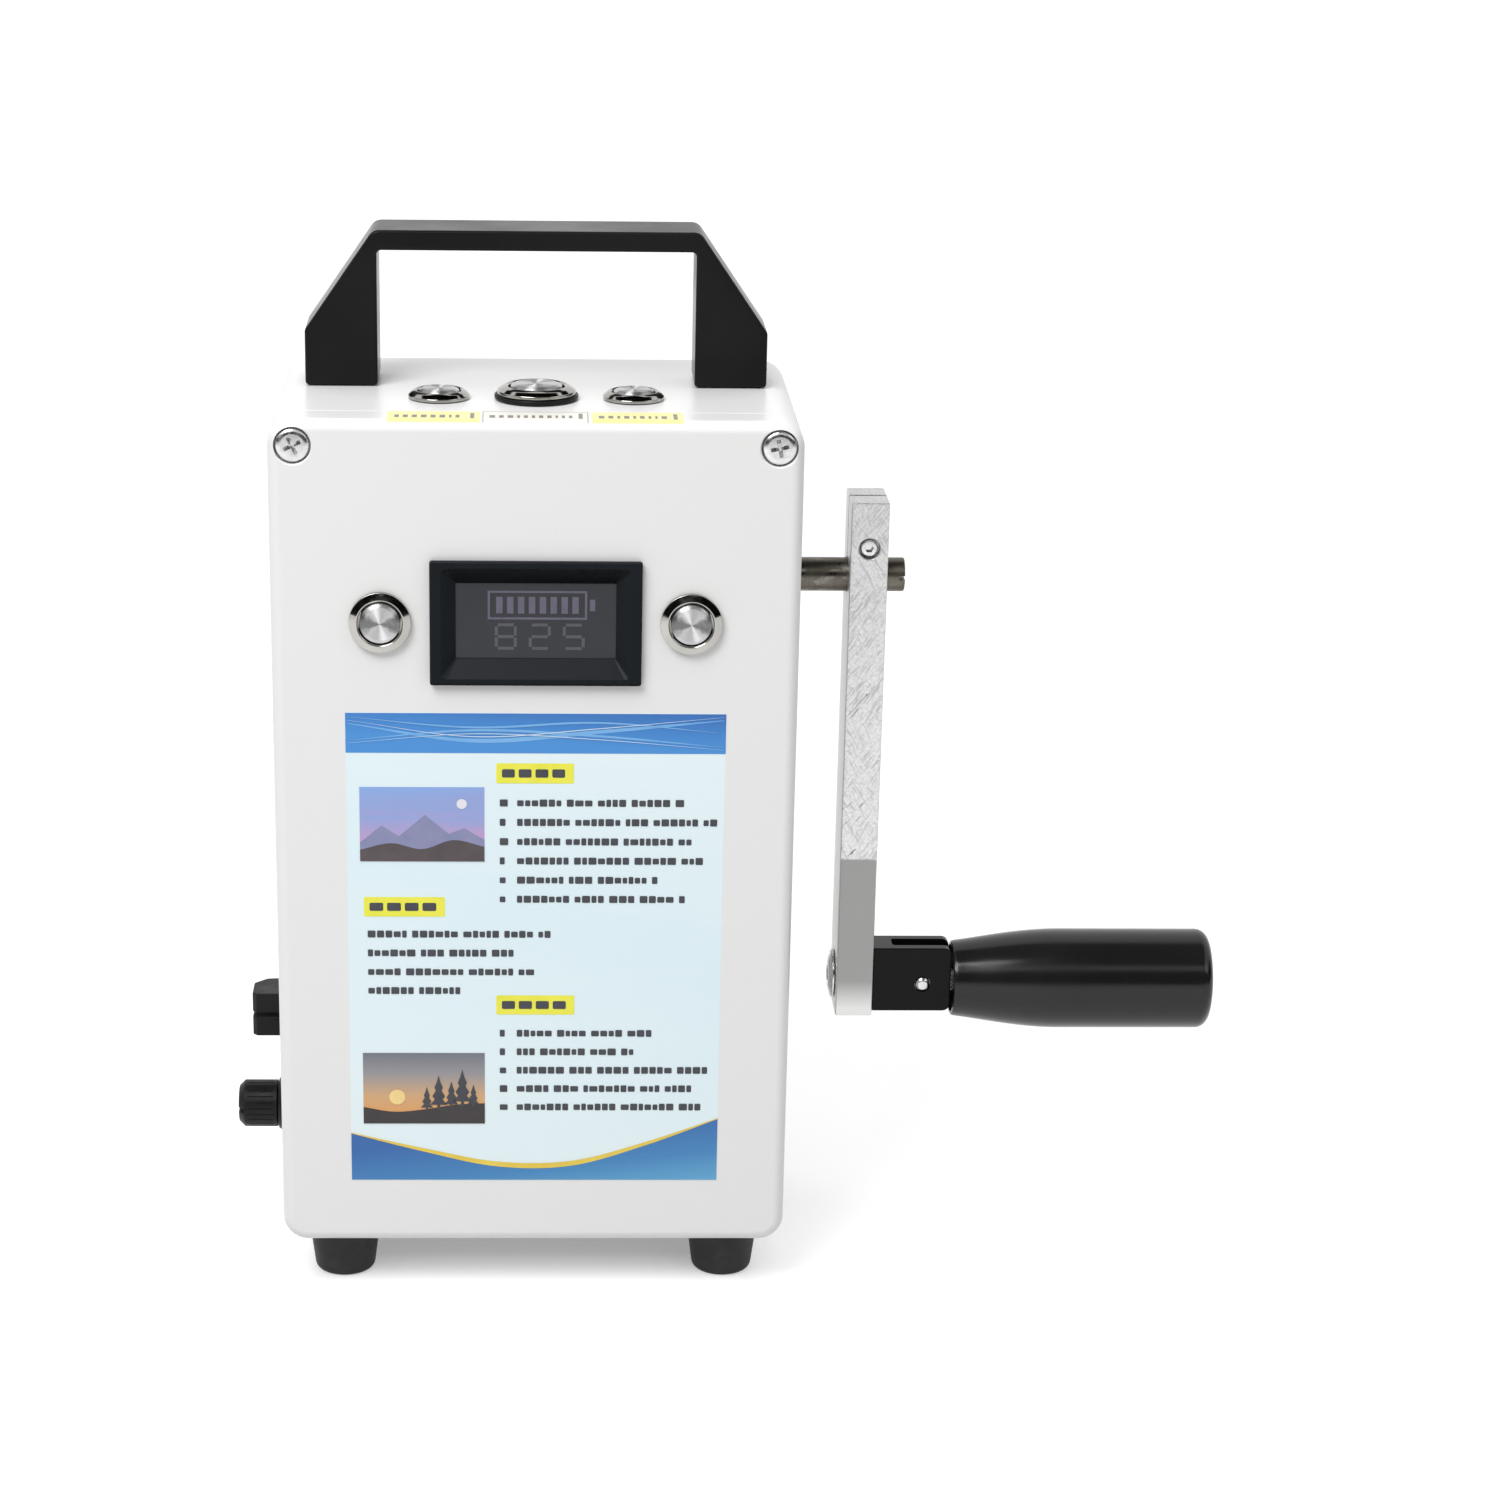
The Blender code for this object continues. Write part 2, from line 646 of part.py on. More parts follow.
def build_rear_housing():
    housing = shell_part("rear_housing", SEAM_Y, BOX_BACK, BACK_EDGE_RADIUS, "white_plastic")
    post_length = BOX_BACK - WALL / 2 - SEAM_Y - GAP
    join(housing, rods(*[(HOUSING_POST_RADIUS, (x, SEAM_Y + GAP, COVER_SCREW_Z), post_length, "+Y")
                         for label, x in COVER_SCREWS], steps=SMALL_STEPS))
    join(housing, blocks(*[((x - RIB_HALF_THICK, RIB_Y[0], BOX_BOTTOM + WALL / 2),
                            (x + RIB_HALF_THICK, RIB_Y[1], BOX_BOTTOM + WALL + RIB_HEIGHT))
                           for x in (PACK_X + RIB_INSET, PACK_X + CELL_LENGTH - RIB_INSET)]))
    join(housing, rods(*[(POST_RADIUS, (x, BOX_BACK - WALL - POST_LENGTH, z), POST_LENGTH + WALL / 2, "+Y")
                         for x in (BOARD_X[0] + POST_INSET, BOARD_X[1] - POST_INSET)
                         for z in (BOARD_Z[0] + POST_INSET, BOARD_Z[1] - POST_INSET)], steps=POST_STEPS))
    cut(housing, rods(*[(PILOT_HOLE_RADIUS, (x, SEAM_Y - WALL, COVER_SCREW_Z), PILOT_HOLE_DEPTH + WALL, "+Y")
                        for label, x in COVER_SCREWS], steps=SMALL_STEPS))
    small = SMALL_BEZEL_RADIUS - BEZEL_OVER_BARREL + GAP
    large = LARGE_BEZEL_RADIUS - BEZEL_OVER_BARREL + GAP
    through_top = BOX_TOP - 2 * WALL
    outside = -BOX_SIDE - WALL
    inside = -BOX_SIDE + 2 * WALL
    cut(housing, rods(
        (small, (-TOP_BUTTON_X, TOP_BUTTON_Y, through_top), 3 * WALL, "+Z"),
        (large, (0, TOP_BUTTON_Y, through_top), 3 * WALL, "+Z"),
        (small, (TOP_BUTTON_X, TOP_BUTTON_Y, through_top), 3 * WALL, "+Z"),
        (SHAFT_BUSHING_RADIUS + GAP, (BOX_SIDE - 2 * WALL, 0, SHAFT_Z), 3 * WALL, "+X"),
        (FUSE_BARREL_RADIUS + GAP, (outside, 0, FUSE_Z), 3 * WALL, "+X"),
        (JACK_NOSE_RADIUS + GAP, (outside, 0, JACK_Z), 3 * WALL, "+X"), steps=ROUND_STEPS))
    cut(housing, rods(
        *[(FOOT_STEM_RADIUS + GAP, (x, y, BOX_BOTTOM - WALL), 3 * WALL, "+Z")
          for x in (-FOOT_X, FOOT_X) for y in (-FOOT_Y, FOOT_Y)],
        *[(HANDLE_SCREW_SHANK + 2 * GAP, (side * HANDLE_SCREW_X, HANDLE_Y, through_top), 3 * WALL, "+Z")
          for side in (-1, 1)], steps=SMALL_STEPS))
    cut(housing, blocks(
        ((outside, TERMINAL_Y[0] - GAP, TERMINAL_Z - TERMINAL_HALF - GAP),
         (inside, TERMINAL_Y[1] + GAP, TERMINAL_Z + TERMINAL_HALF + GAP)),
        ((outside, -USB_HALF_WIDTH - GAP, USB_Z - USB_HALF_HEIGHT - GAP),
         (inside, USB_HALF_WIDTH + GAP, USB_Z + USB_HALF_HEIGHT + GAP)),
        ((-OUTLET_HALF_WIDTH - GAP, BOX_BACK - 2 * WALL, OUTLET_Z - OUTLET_HALF_HEIGHT - GAP),
         (OUTLET_HALF_WIDTH + GAP, BOX_BACK + WALL, OUTLET_Z + OUTLET_HALF_HEIGHT + GAP)),
        *[((side * HOOK_X - HOOK_HALF - GAP, HOOK_Y[0] - GAP, BOX_BOTTOM + WALL / 2),
           (side * HOOK_X + HOOK_HALF + GAP, HOOK_Y[1] + GAP, BOX_BOTTOM + 2 * WALL))
          for side in (-1, 1)]))


def build_front_cover():
    cover = shell_part("front_cover", SEAM_Y - GAP, BOX_FRONT, FRONT_EDGE_RADIUS, "white_plastic")
    post_length = COVER_DEPTH - WALL / 2 - 2 * GAP
    join(cover, rods(*[(COVER_POST_RADIUS, (x, BOX_FRONT + WALL / 2, COVER_SCREW_Z), post_length, "+Y")
                       for label, x in COVER_SCREWS], steps=ROUND_STEPS))
    hook_top = BOX_BOTTOM + 2 * WALL
    join(cover, blocks(*[((side * HOOK_X - HOOK_HALF, BOX_FRONT + WALL / 2, BOX_BOTTOM + WALL + GAP),
                          (side * HOOK_X + HOOK_HALF, HOOK_Y[1], hook_top)) for side in (-1, 1)]))
    join(cover, blocks(*[((side * HOOK_X - HOOK_HALF, HOOK_Y[0], BOX_BOTTOM + WALL / 2 + GAP),
                          (side * HOOK_X + HOOK_HALF, HOOK_Y[1] - GAP, hook_top - GAP))
                         for side in (-1, 1)]))
    in_front = BOX_FRONT - WALL
    cut(cover, rods(*[(COUNTERBORE_RADIUS, (x, in_front, COVER_SCREW_Z), WALL + COUNTERBORE_DEPTH, "+Y")
                      for label, x in COVER_SCREWS], steps=ROUND_STEPS))
    cut(cover, rods(*[(CLEARANCE_HOLE_RADIUS, (x, BOX_FRONT, COVER_SCREW_Z), COVER_DEPTH + WALL, "+Y")
                      for label, x in COVER_SCREWS], steps=SMALL_STEPS))
    hole = SMALL_BEZEL_RADIUS - BEZEL_OVER_BARREL + GAP
    cut(cover, rods(*[(hole, (side * FRONT_BUTTON_X, in_front, METER_Z), 3 * WALL, "+Y")
                      for side in (-1, 1)], steps=ROUND_STEPS))
    cut(cover, blocks(((-METER_BODY_HALF_WIDTH - GAP, in_front, METER_Z - METER_BODY_HALF_HEIGHT - GAP),
                       (METER_BODY_HALF_WIDTH + GAP, BOX_FRONT + 2 * WALL,
                        METER_Z + METER_BODY_HALF_HEIGHT + GAP))))


def screw_part(name, head_radius, head_height, shank_radius, length, location, direction, finish,
               steps=SMALL_STEPS):
    """A pan head screw whose head stands at the location and whose shank runs back from it."""
    profile = [(share * head_radius, rise * head_height) for share, rise in PAN_HEAD]
    profile += [(shank_radius, 0), (shank_radius, -length), (0, -length)]
    return turned(name, profile, location, direction, finish, steps)


def build_cover_screws():
    head_seat = BOX_FRONT + COUNTERBORE_DEPTH - GAP
    for label, x in COVER_SCREWS:
        screw_part(f"cover_screw_{label}", COVER_SCREW_HEAD_RADIUS, COVER_SCREW_HEAD_HEIGHT,
                   COVER_SCREW_SHANK, COVER_SCREW_LENGTH, (x, head_seat, COVER_SCREW_Z), "-Y", "nickel")


def build_feet():
    """Rubber plug feet: a tapered pad, a stem through the floor and a barb above it."""
    seat = FOOT_HEIGHT - GAP
    barb = BOX_BOTTOM + WALL + GAP
    lip = 0.0008
    profile = [(0, barb + FOOT_BARB_LENGTH), (FOOT_BARB_TIP_RADIUS, barb + FOOT_BARB_LENGTH),
               (FOOT_BARB_RADIUS, barb + lip), (FOOT_BARB_RADIUS, barb), (FOOT_STEM_RADIUS, barb),
               (FOOT_STEM_RADIUS, seat), (FOOT_TOP_RADIUS - lip / 2, seat), (FOOT_TOP_RADIUS, seat - lip / 2),
               (FOOT_BOTTOM_RADIUS, lip), (FOOT_BOTTOM_RADIUS - lip, 0), (0, 0)]
    for row, y in (("front", -FOOT_Y), ("rear", FOOT_Y)):
        for side, x in (("left", -FOOT_X), ("right", FOOT_X)):
            turned(f"foot_{row}_{side}", profile, (x, y, 0), "+Z", "rubber", PLUG_STEPS)


def build_carry_handle():
    """A solid bridge with sloping shoulders, rounded on every edge but those on the box."""
    half = HANDLE_WIDTH / 2
    leg = HANDLE_OPENING / 2
    under_bar = HANDLE_RISE - HANDLE_BAR
    outline = [(-half, GAP), (-leg, GAP), (-leg, under_bar), (leg, under_bar), (leg, GAP), (half, GAP),
               (half, HANDLE_SHOULDER), (HANDLE_TOP_HALF, HANDLE_RISE), (-HANDLE_TOP_HALF, HANDLE_RISE),
               (-half, HANDLE_SHOULDER)]
    handle = plate("carry_handle", [outline], HANDLE_DEPTH, (0, HANDLE_Y, BOX_TOP), "XZ", "black_gloss")
    bm = bmesh.new()
    bm.from_mesh(handle.data)
    bmesh.ops.dissolve_limit(bm, angle_limit=radians(1), verts=bm.verts, edges=bm.edges)
    margin = GAP / 3
    outer = [edge for edge in bm.edges
             if edge.calc_face_angle(0) > radians(10)
             and all(vert.co.y > GAP + margin or abs(vert.co.x) > half - margin for vert in edge.verts)]
    bmesh.ops.bevel(bm, geom=outer, offset=HANDLE_ROUNDING, segments=2, profile=0.5, affect="EDGES",
                    clamp_overlap=True)
    bm.to_mesh(handle.data)
    bm.free()
    shade(handle.data)
    cut(handle, rods(*[(HANDLE_BORE_RADIUS, (side * HANDLE_SCREW_X, HANDLE_Y, BOX_TOP - WALL),
                        WALL + HANDLE_BORE_DEPTH, "+Z") for side in (-1, 1)], steps=SMALL_STEPS))
    for side, label in ((-1, "left"), (1, "right")):
        screw_part(f"handle_screw_{label}", HANDLE_SCREW_HEAD_RADIUS, HANDLE_SCREW_HEAD_HEIGHT,
                   HANDLE_SCREW_SHANK, HANDLE_SCREW_LENGTH,
                   (side * HANDLE_SCREW_X, HANDLE_Y, BOX_TOP - WALL - GAP), "-Z", "steel")


def build_panel_meter():
    """Bezel with a flared recess in front of the window, on an open-backed body."""
    front = BOX_FRONT - METER_PROUD
    seat = BOX_FRONT - GAP
    case = block_part("meter_case", (-METER_WIDTH / 2, front, METER_Z - METER_HEIGHT / 2),
                      (METER_WIDTH / 2, seat, METER_Z + METER_HEIGHT / 2), "black_gloss",
                      rounding=METER_PROUD / 4, segments=2)
    join(case, blocks(((-METER_BODY_HALF_WIDTH, BOX_FRONT - METER_PROUD / 2,
                        METER_Z - METER_BODY_HALF_HEIGHT),
                       (METER_BODY_HALF_WIDTH, METER_BODY_BACK_Y, METER_Z + METER_BODY_HALF_HEIGHT))))
    inner_half_width = METER_BODY_HALF_WIDTH - METER_BODY_WALL
    inner_half_height = METER_BODY_HALF_HEIGHT - METER_BODY_WALL
    cut(case, blocks(((-inner_half_width, WINDOW_Y[0] - GAP, METER_Z - inner_half_height),
                      (inner_half_width, METER_BODY_BACK_Y + WALL, METER_Z + inner_half_height))))
    outside = front - WALL / 2
    reach = (outside - WINDOW_Y[0]) / (front - WINDOW_Y[0])
    widen_x = (METER_WIDTH / 2 - METER_BORDER[0] - WINDOW_WIDTH / 2) * reach
    widen_z = (METER_HEIGHT / 2 - METER_BORDER[1] - WINDOW_HEIGHT / 2) * reach
    flare = bmesh.new()
    flare_verts = add_block(flare, (-WINDOW_WIDTH / 2, outside, METER_Z - WINDOW_HEIGHT / 2),
                            (WINDOW_WIDTH / 2, WINDOW_Y[0], METER_Z + WINDOW_HEIGHT / 2))
    for vert in flare_verts:
        if vert.co.y < front:
            vert.co.x += widen_x if vert.co.x > 0 else -widen_x
            vert.co.z += widen_z if vert.co.z > METER_Z else -widen_z
    cut(case, flare)
    fit_x = inner_half_width - GAP
    fit_z = inner_half_height - GAP
    block_part("meter_window", (-fit_x, WINDOW_Y[0], METER_Z - fit_z),
               (fit_x, WINDOW_Y[1], METER_Z + fit_z), "window")
    board = block_part("meter_board", (-fit_x, METER_BOARD_Y[0], METER_Z - fit_z),
                       (fit_x, METER_BOARD_Y[1], METER_Z + fit_z), "board")
    join(board, blocks(((-DISPLAY_HALF_WIDTH, DISPLAY_FRONT_Y, METER_Z - DISPLAY_HALF_HEIGHT),
                        (DISPLAY_HALF_WIDTH, METER_BOARD_Y[0] + GAP, METER_Z + DISPLAY_HALF_HEIGHT))))


# Push buttons

def build_button(name, bezel_radius, seat_lift, location, direction, steps):
    """A vandal-proof push button: threaded body with a domed bezel, moving cap and nut."""
    barrel = bezel_radius - BEZEL_OVER_BARREL
    bore = bezel_radius * BUTTON_BORE_SHARE
    cap = bezel_radius * BUTTON_CAP_SHARE
    base = seat_lift + GAP
    crest = base + BEZEL_CREST
    floor = -BUTTON_BORE_DEPTH
    body = [(0, floor), (bore, floor), (bore, crest - BEZEL_LIP)]
    body += [(bezel_radius * share, crest - drop) for share, drop in BEZEL_DOME]
    body += [(bezel_radius, base + GAP), (bezel_radius, base), (barrel, base), (barrel, -BUTTON_DEPTH),
             (0, -BUTTON_DEPTH)]
    turned(f"{name}_body", body, location, direction, "nickel", steps)
    rise = base + BUTTON_CAP_RISE
    bottom = floor + BUTTON_TRAVEL + GAP
    edge = 0.0006
    cap_profile = [(0, rise), (cap - edge, rise - edge / 6), (cap, rise - edge), (cap, bottom), (0, bottom)]
    turned(f"{name}_cap", cap_profile, location, direction, "steel", steps)
    offset = -WALL - GAP - BUTTON_NUT_THICK / 2
    turn = Matrix.Rotation(ALONG[direction][0], 3, "X") @ Vector((0, 0, offset))
    nut_plane = "XZ" if direction == "-Y" else "XY"
    hexagon = circle(barrel * BUTTON_NUT_SHARE, steps=6)
    plate(f"{name}_nut", [hexagon, circle(barrel + GAP, steps=SMALL_STEPS)], BUTTON_NUT_THICK,
          Vector(location) + turn, nut_plane, "nickel")


def build_buttons():
    for side, label in ((-1, "left"), (1, "right")):
        build_button(f"front_{label}_button", SMALL_BEZEL_RADIUS, 0,
                     (side * FRONT_BUTTON_X, BOX_FRONT, METER_Z), "-Y", BARREL_STEPS)
        build_button(f"top_{label}_button", SMALL_BEZEL_RADIUS, 0,
                     (side * TOP_BUTTON_X, TOP_BUTTON_Y, BOX_TOP), "+Z", BARREL_STEPS)
    build_button("top_middle_button", LARGE_BEZEL_RADIUS, GASKET_THICK + GAP,
                 (0, TOP_BUTTON_Y, BOX_TOP), "+Z", ROUND_STEPS)
    plate("top_middle_gasket",
          [circle(LARGE_BEZEL_RADIUS + GASKET_HALF_WIDTH, steps=ROUND_STEPS),
           circle(LARGE_BEZEL_RADIUS - GASKET_HALF_WIDTH, steps=ROUND_STEPS)],
          GASKET_THICK, (0, TOP_BUTTON_Y, BOX_TOP + GAP + GASKET_THICK / 2), "XY", "rubber")


# Left side and rear fittings

def build_push_terminal():
    """Two sprung levers, one above the other, that open two wire holes in front of them."""
    face = -BOX_SIDE
    body = block_part("terminal_body", (face, TERMINAL_Y[0], TERMINAL_Z - TERMINAL_HALF),
                      (face + TERMINAL_DEPTH, TERMINAL_Y[1], TERMINAL_Z + TERMINAL_HALF), "black_plastic")
    pocket_half = LEVER_THICK + LEVER_SPACE / 2 + GAP
    cut(body, blocks(((face - WALL, -POCKET_HALF_WIDTH, TERMINAL_Z - pocket_half),
                      (face + POCKET_DEPTH, POCKET_HALF_WIDTH, TERMINAL_Z + pocket_half))))
    rise = (LEVER_THICK + LEVER_SPACE) / 2
    cut(body, rods(*[(WIRE_HOLE_RADIUS, (face - WALL, WIRE_HOLE_Y, TERMINAL_Z + side * rise),
                      WALL + WIRE_HOLE_DEPTH, "+X") for side in (-1, 1)], steps=SMALL_STEPS))
    tip = face - TERMINAL_PROUD
    chamfer = LEVER_CHAMFER
    lever = [(LEVER_HEEL_X, LEVER_FRONT_Y + chamfer), (LEVER_HEEL_X, LEVER_BACK_Y - chamfer),
             (LEVER_HEEL_X - 2 * chamfer, LEVER_BACK_Y), (tip + 3 * chamfer, LEVER_BACK_Y - chamfer),
             (tip, LEVER_BACK_Y - 4 * chamfer), (tip, LEVER_FRONT_Y + chamfer),
             (tip + chamfer, LEVER_FRONT_Y), (face, LEVER_FRONT_Y)]
    local = [(x - LEVER_HINGE_X, y - LEVER_HINGE_Y) for x, y in lever]
    for side, label in ((1, "upper"), (-1, "lower")):
        plate(f"terminal_lever_{label}", [local], LEVER_THICK,
              (LEVER_HINGE_X, LEVER_HINGE_Y, TERMINAL_Z + side * rise), "XY", "black_plastic")


def build_fuse_holder():
    location = (-BOX_SIDE, 0, FUSE_Z)
    body = [(0, -FUSE_BORE_DEPTH), (FUSE_BORE_RADIUS, -FUSE_BORE_DEPTH),
            (FUSE_BORE_RADIUS, FUSE_COLLAR_PROUD), (FUSE_COLLAR_RADIUS, FUSE_COLLAR_PROUD),
            (FUSE_FLANGE_RADIUS, FUSE_FLANGE_PROUD), (FUSE_FLANGE_RADIUS, GAP),
            (FUSE_BARREL_RADIUS, GAP), (FUSE_BARREL_RADIUS, -FUSE_BARREL_DEPTH),
            (0, -FUSE_BARREL_DEPTH)]
    turned("fuse_holder_body", body, location, "-X", "black_plastic")
    seat = FUSE_COLLAR_PROUD + GAP
    plug_radius = FUSE_BORE_RADIUS - 2 * GAP
    cap = [(0, FUSE_PROUD), (FUSE_CAP_RADIUS - FUSE_CAP_CHAMFER, FUSE_PROUD),
           (FUSE_CAP_RADIUS, FUSE_PROUD - FUSE_CAP_CHAMFER), (FUSE_CAP_RADIUS, seat), (plug_radius, seat),
           (plug_radius, -FUSE_CAP_DEPTH), (0, -FUSE_CAP_DEPTH)]
    fuse_cap = turned("fuse_cap", cap, location, "-X", "black_plastic", ROUND_STEPS)
    end = -BOX_SIDE - FUSE_PROUD
    cut(fuse_cap, blocks(((end - WALL, -FUSE_CAP_RADIUS - WALL, FUSE_Z - FUSE_SLOT_HALF),
                          (end + FUSE_SLOT_DEPTH, FUSE_CAP_RADIUS + WALL, FUSE_Z + FUSE_SLOT_HALF))))


def build_sockets():
    face = -BOX_SIDE
    jack = [(0, JACK_PIN_POINT), (JACK_PIN_RADIUS, -JACK_PIN_POINT), (JACK_PIN_RADIUS, -JACK_BORE_DEPTH),
            (JACK_BORE_RADIUS, -JACK_BORE_DEPTH), (JACK_BORE_RADIUS, 0), (JACK_NOSE_RADIUS, 0),
            (JACK_NOSE_RADIUS, -JACK_NOSE_LENGTH), (JACK_BODY_RADIUS, -JACK_NOSE_LENGTH),
            (JACK_BODY_RADIUS, -JACK_DEPTH), (0, -JACK_DEPTH)]
    turned("charging_jack", jack, (face, 0, JACK_Z), "-X", "black_plastic", PLUG_STEPS)
    usb = block_part("usb_socket", (face, -USB_HALF_WIDTH, USB_Z - USB_HALF_HEIGHT),
                     (face + USB_DEPTH, USB_HALF_WIDTH, USB_Z + USB_HALF_HEIGHT), "black_plastic")
    cut(usb, blocks(*[((face - WALL, -PORT_HALF_WIDTH, USB_Z + side * PORT_RISE - PORT_HALF_HEIGHT),
                       (face + PORT_DEPTH, PORT_HALF_WIDTH, USB_Z + side * PORT_RISE + PORT_HALF_HEIGHT))
                      for side in (-1, 1)]))
    root = face + PORT_DEPTH + 2 * TONGUE_SETBACK
    join(usb, blocks(*[((face + TONGUE_SETBACK, -TONGUE_HALF_WIDTH, USB_Z + side * PORT_RISE),
                        (root, TONGUE_HALF_WIDTH, USB_Z + side * PORT_RISE + TONGUE_THICK))
                       for side in (-1, 1)]))


def build_outlet():
    """A flat two-blade socket that snaps into the rear wall."""
    back = BOX_BACK + OUTLET_PROUD
    plate_half_width = OUTLET_HALF_WIDTH + OUTLET_RIM
    plate_half_height = OUTLET_HALF_HEIGHT + OUTLET_RIM
    outlet = block_part("ac_outlet", (-plate_half_width, BOX_BACK + GAP, OUTLET_Z - plate_half_height),
                        (plate_half_width, back, OUTLET_Z + plate_half_height), "black_plastic",
                        OUTLET_ROUNDING, segments=2)
    join(outlet, blocks(((-OUTLET_HALF_WIDTH, OUTLET_FRONT_Y, OUTLET_Z - OUTLET_HALF_HEIGHT),
                         (OUTLET_HALF_WIDTH, BOX_BACK + OUTLET_PROUD / 2, OUTLET_Z + OUTLET_HALF_HEIGHT))))
    floor = back - BLADE_DEPTH
    cut(outlet, blocks(*[((side * BLADE_X - BLADE_HALF_THICK, floor, OUTLET_Z - BLADE_HALF_HEIGHT),
                          (side * BLADE_X + BLADE_HALF_THICK, back + WALL, OUTLET_Z + BLADE_HALF_HEIGHT))
                         for side in (-1, 1)]))


# Crank

def build_crank_shaft():
    start = INNER_PLATE_X[0] - SHAFT_TAIL
    shoulder = INNER_PLATE_X[1] + GAP
    profile = [(0, SHAFT_END_X), (SHAFT_RADIUS - SHAFT_CHAMFER, SHAFT_END_X),
               (SHAFT_RADIUS, SHAFT_END_X - SHAFT_CHAMFER), (SHAFT_RADIUS, shoulder),
               (SHAFT_JOURNAL, shoulder), (SHAFT_JOURNAL, start), (0, start)]
    shaft = turned("crank_shaft", profile, (0, 0, SHAFT_Z), "+X", "nickel")
    cut(shaft, blocks(((SHAFT_END_X - SHAFT_SLOT_DEPTH, -SHAFT_RADIUS - WALL, SHAFT_Z - SHAFT_SLOT_HALF),
                       (SHAFT_END_X + WALL, SHAFT_RADIUS + WALL, SHAFT_Z + SHAFT_SLOT_HALF))))
    inner = SHAFT_RADIUS + RUNNING
    first = OUTER_PLATE_X[0] + GAP
    outer = SHAFT_BUSHING_RADIUS
    ring = [(inner, BOX_SIDE), (outer, BOX_SIDE), (outer, first), (inner, first)]
    turned("shaft_bushing", ring, (0, 0, SHAFT_Z), "+X", "brass", closed=True)


def build_crank_arm():
    """Flat bar, split above the shaft and drawn tight on it by a cross screw."""
    arm = block_part("crank_arm", (ARM_LEFT_X, -ARM_DEPTH / 2, ARM_BOTTOM_Z),
                     (ARM_RIGHT_X, ARM_DEPTH / 2, ARM_TOP_Z), "aluminium", rounding=ARM_CHAMFER)
    through = ARM_RIGHT_X - ARM_LEFT_X + 2 * WALL
    cut(arm, rods((SHAFT_RADIUS + GAP, (ARM_LEFT_X - WALL, 0, SHAFT_Z), through, "+X"), steps=ROUND_STEPS))
    cut(arm, blocks(((ARM_LEFT_X - WALL, -CLAMP_SLIT_HALF, SHAFT_Z),
                     (ARM_RIGHT_X + WALL, CLAMP_SLIT_HALF, ARM_TOP_Z + WALL))))
    clamp_z = SHAFT_Z + CLAMP_SCREW_RISE
    front = -ARM_DEPTH / 2
    cut(arm, rods((CLAMP_BORE_RADIUS, (ARM_X, front - WALL, clamp_z), WALL + CLAMP_BORE_DEPTH, "+Y")))
    cut(arm, rods((CLAMP_HOLE_RADIUS, (ARM_X, front, clamp_z), CLAMP_HOLE_DEPTH, "+Y"), steps=SMALL_STEPS))
    cut(arm, rods((FORK_BORE_RADIUS, (ARM_LEFT_X - WALL, 0, FORK_SCREW_Z), through, "+X"), steps=SMALL_STEPS))
    head_seat = front + CLAMP_BORE_DEPTH - GAP
    screw = screw_part("clamp_screw", CLAMP_HEAD_RADIUS, CLAMP_HEAD_HEIGHT, CLAMP_SHANK, CLAMP_LENGTH,
                       (ARM_X, head_seat, clamp_z), "-Y", "steel")
    head_top = head_seat - CLAMP_HEAD_HEIGHT
    cut(screw, rods((CLAMP_SOCKET_RADIUS, (ARM_X, head_top - WALL, clamp_z), WALL + CLAMP_SOCKET_DEPTH, "+Y"),
                    steps=6))


def build_hinge_fork():
    """A clevis on the arm's end that holds the folding spindle between two cheeks."""
    middle_x = (FORK_LEFT_X + FORK_RIGHT_X) / 2
    half = (FORK_RIGHT_X - FORK_LEFT_X) / 2
    height = FORK_ABOVE + FORK_BELOW
    outline = [(-half, -FORK_BELOW)]
    corner_steps = 3
    for centre_z, first in ((FORK_CORNER - FORK_BELOW, -pi / 2), (FORK_ABOVE - FORK_CORNER, 0)):
        for step in range(corner_steps + 1):
            angle = first + step * pi / 2 / corner_steps
            outline.append((half - FORK_CORNER * (1 - cos(angle)), centre_z + FORK_CORNER * sin(angle)))
    outline.append((-half, FORK_ABOVE))
    fork = plate("hinge_fork", [outline], FORK_DEPTH, (middle_x, 0, PIN_Z), "XZ", "black_gloss")
    cut(fork, blocks(((FORK_RIGHT_X - FORK_SLOT_LENGTH, -FORK_SLOT / 2, PIN_Z - height),
                      (FORK_RIGHT_X + WALL, FORK_SLOT / 2, PIN_Z + height))))
    cut(fork, rods((PIN_RADIUS + GAP, (PIN_X, -FORK_DEPTH, PIN_Z), 2 * FORK_DEPTH, "+Y"),
                   steps=PLUG_STEPS))
    cut(fork, rods((FORK_BORE_RADIUS, (FORK_LEFT_X - WALL, 0, FORK_SCREW_Z), WALL + FORK_BORE_DEPTH, "+X"),
                   steps=SMALL_STEPS))
    screw_part("fork_screw", FORK_SCREW_HEAD_RADIUS, FORK_SCREW_HEAD_HEIGHT, FORK_SCREW_SHANK,
               FORK_SCREW_LENGTH, (ARM_LEFT_X - GAP, 0, FORK_SCREW_Z), "-X", "steel", BARREL_STEPS)
    half_pin = FORK_DEPTH / 2 + PIN_EDGE
    flat = PIN_RADIUS - PIN_EDGE
    crown = half_pin - PIN_EDGE / 5
    shoulder = half_pin - PIN_EDGE
    pin = [(0, half_pin), (flat, crown), (PIN_RADIUS, shoulder), (PIN_RADIUS, -shoulder), (flat, -crown),
           (0, -half_pin)]
    turned("hinge_pin", pin, (PIN_X, 0, PIN_Z), "-Y", "steel", PLUG_STEPS)


# Grip: spindle with an eye on the pin, a sliding bushing, the revolving grip and its plug

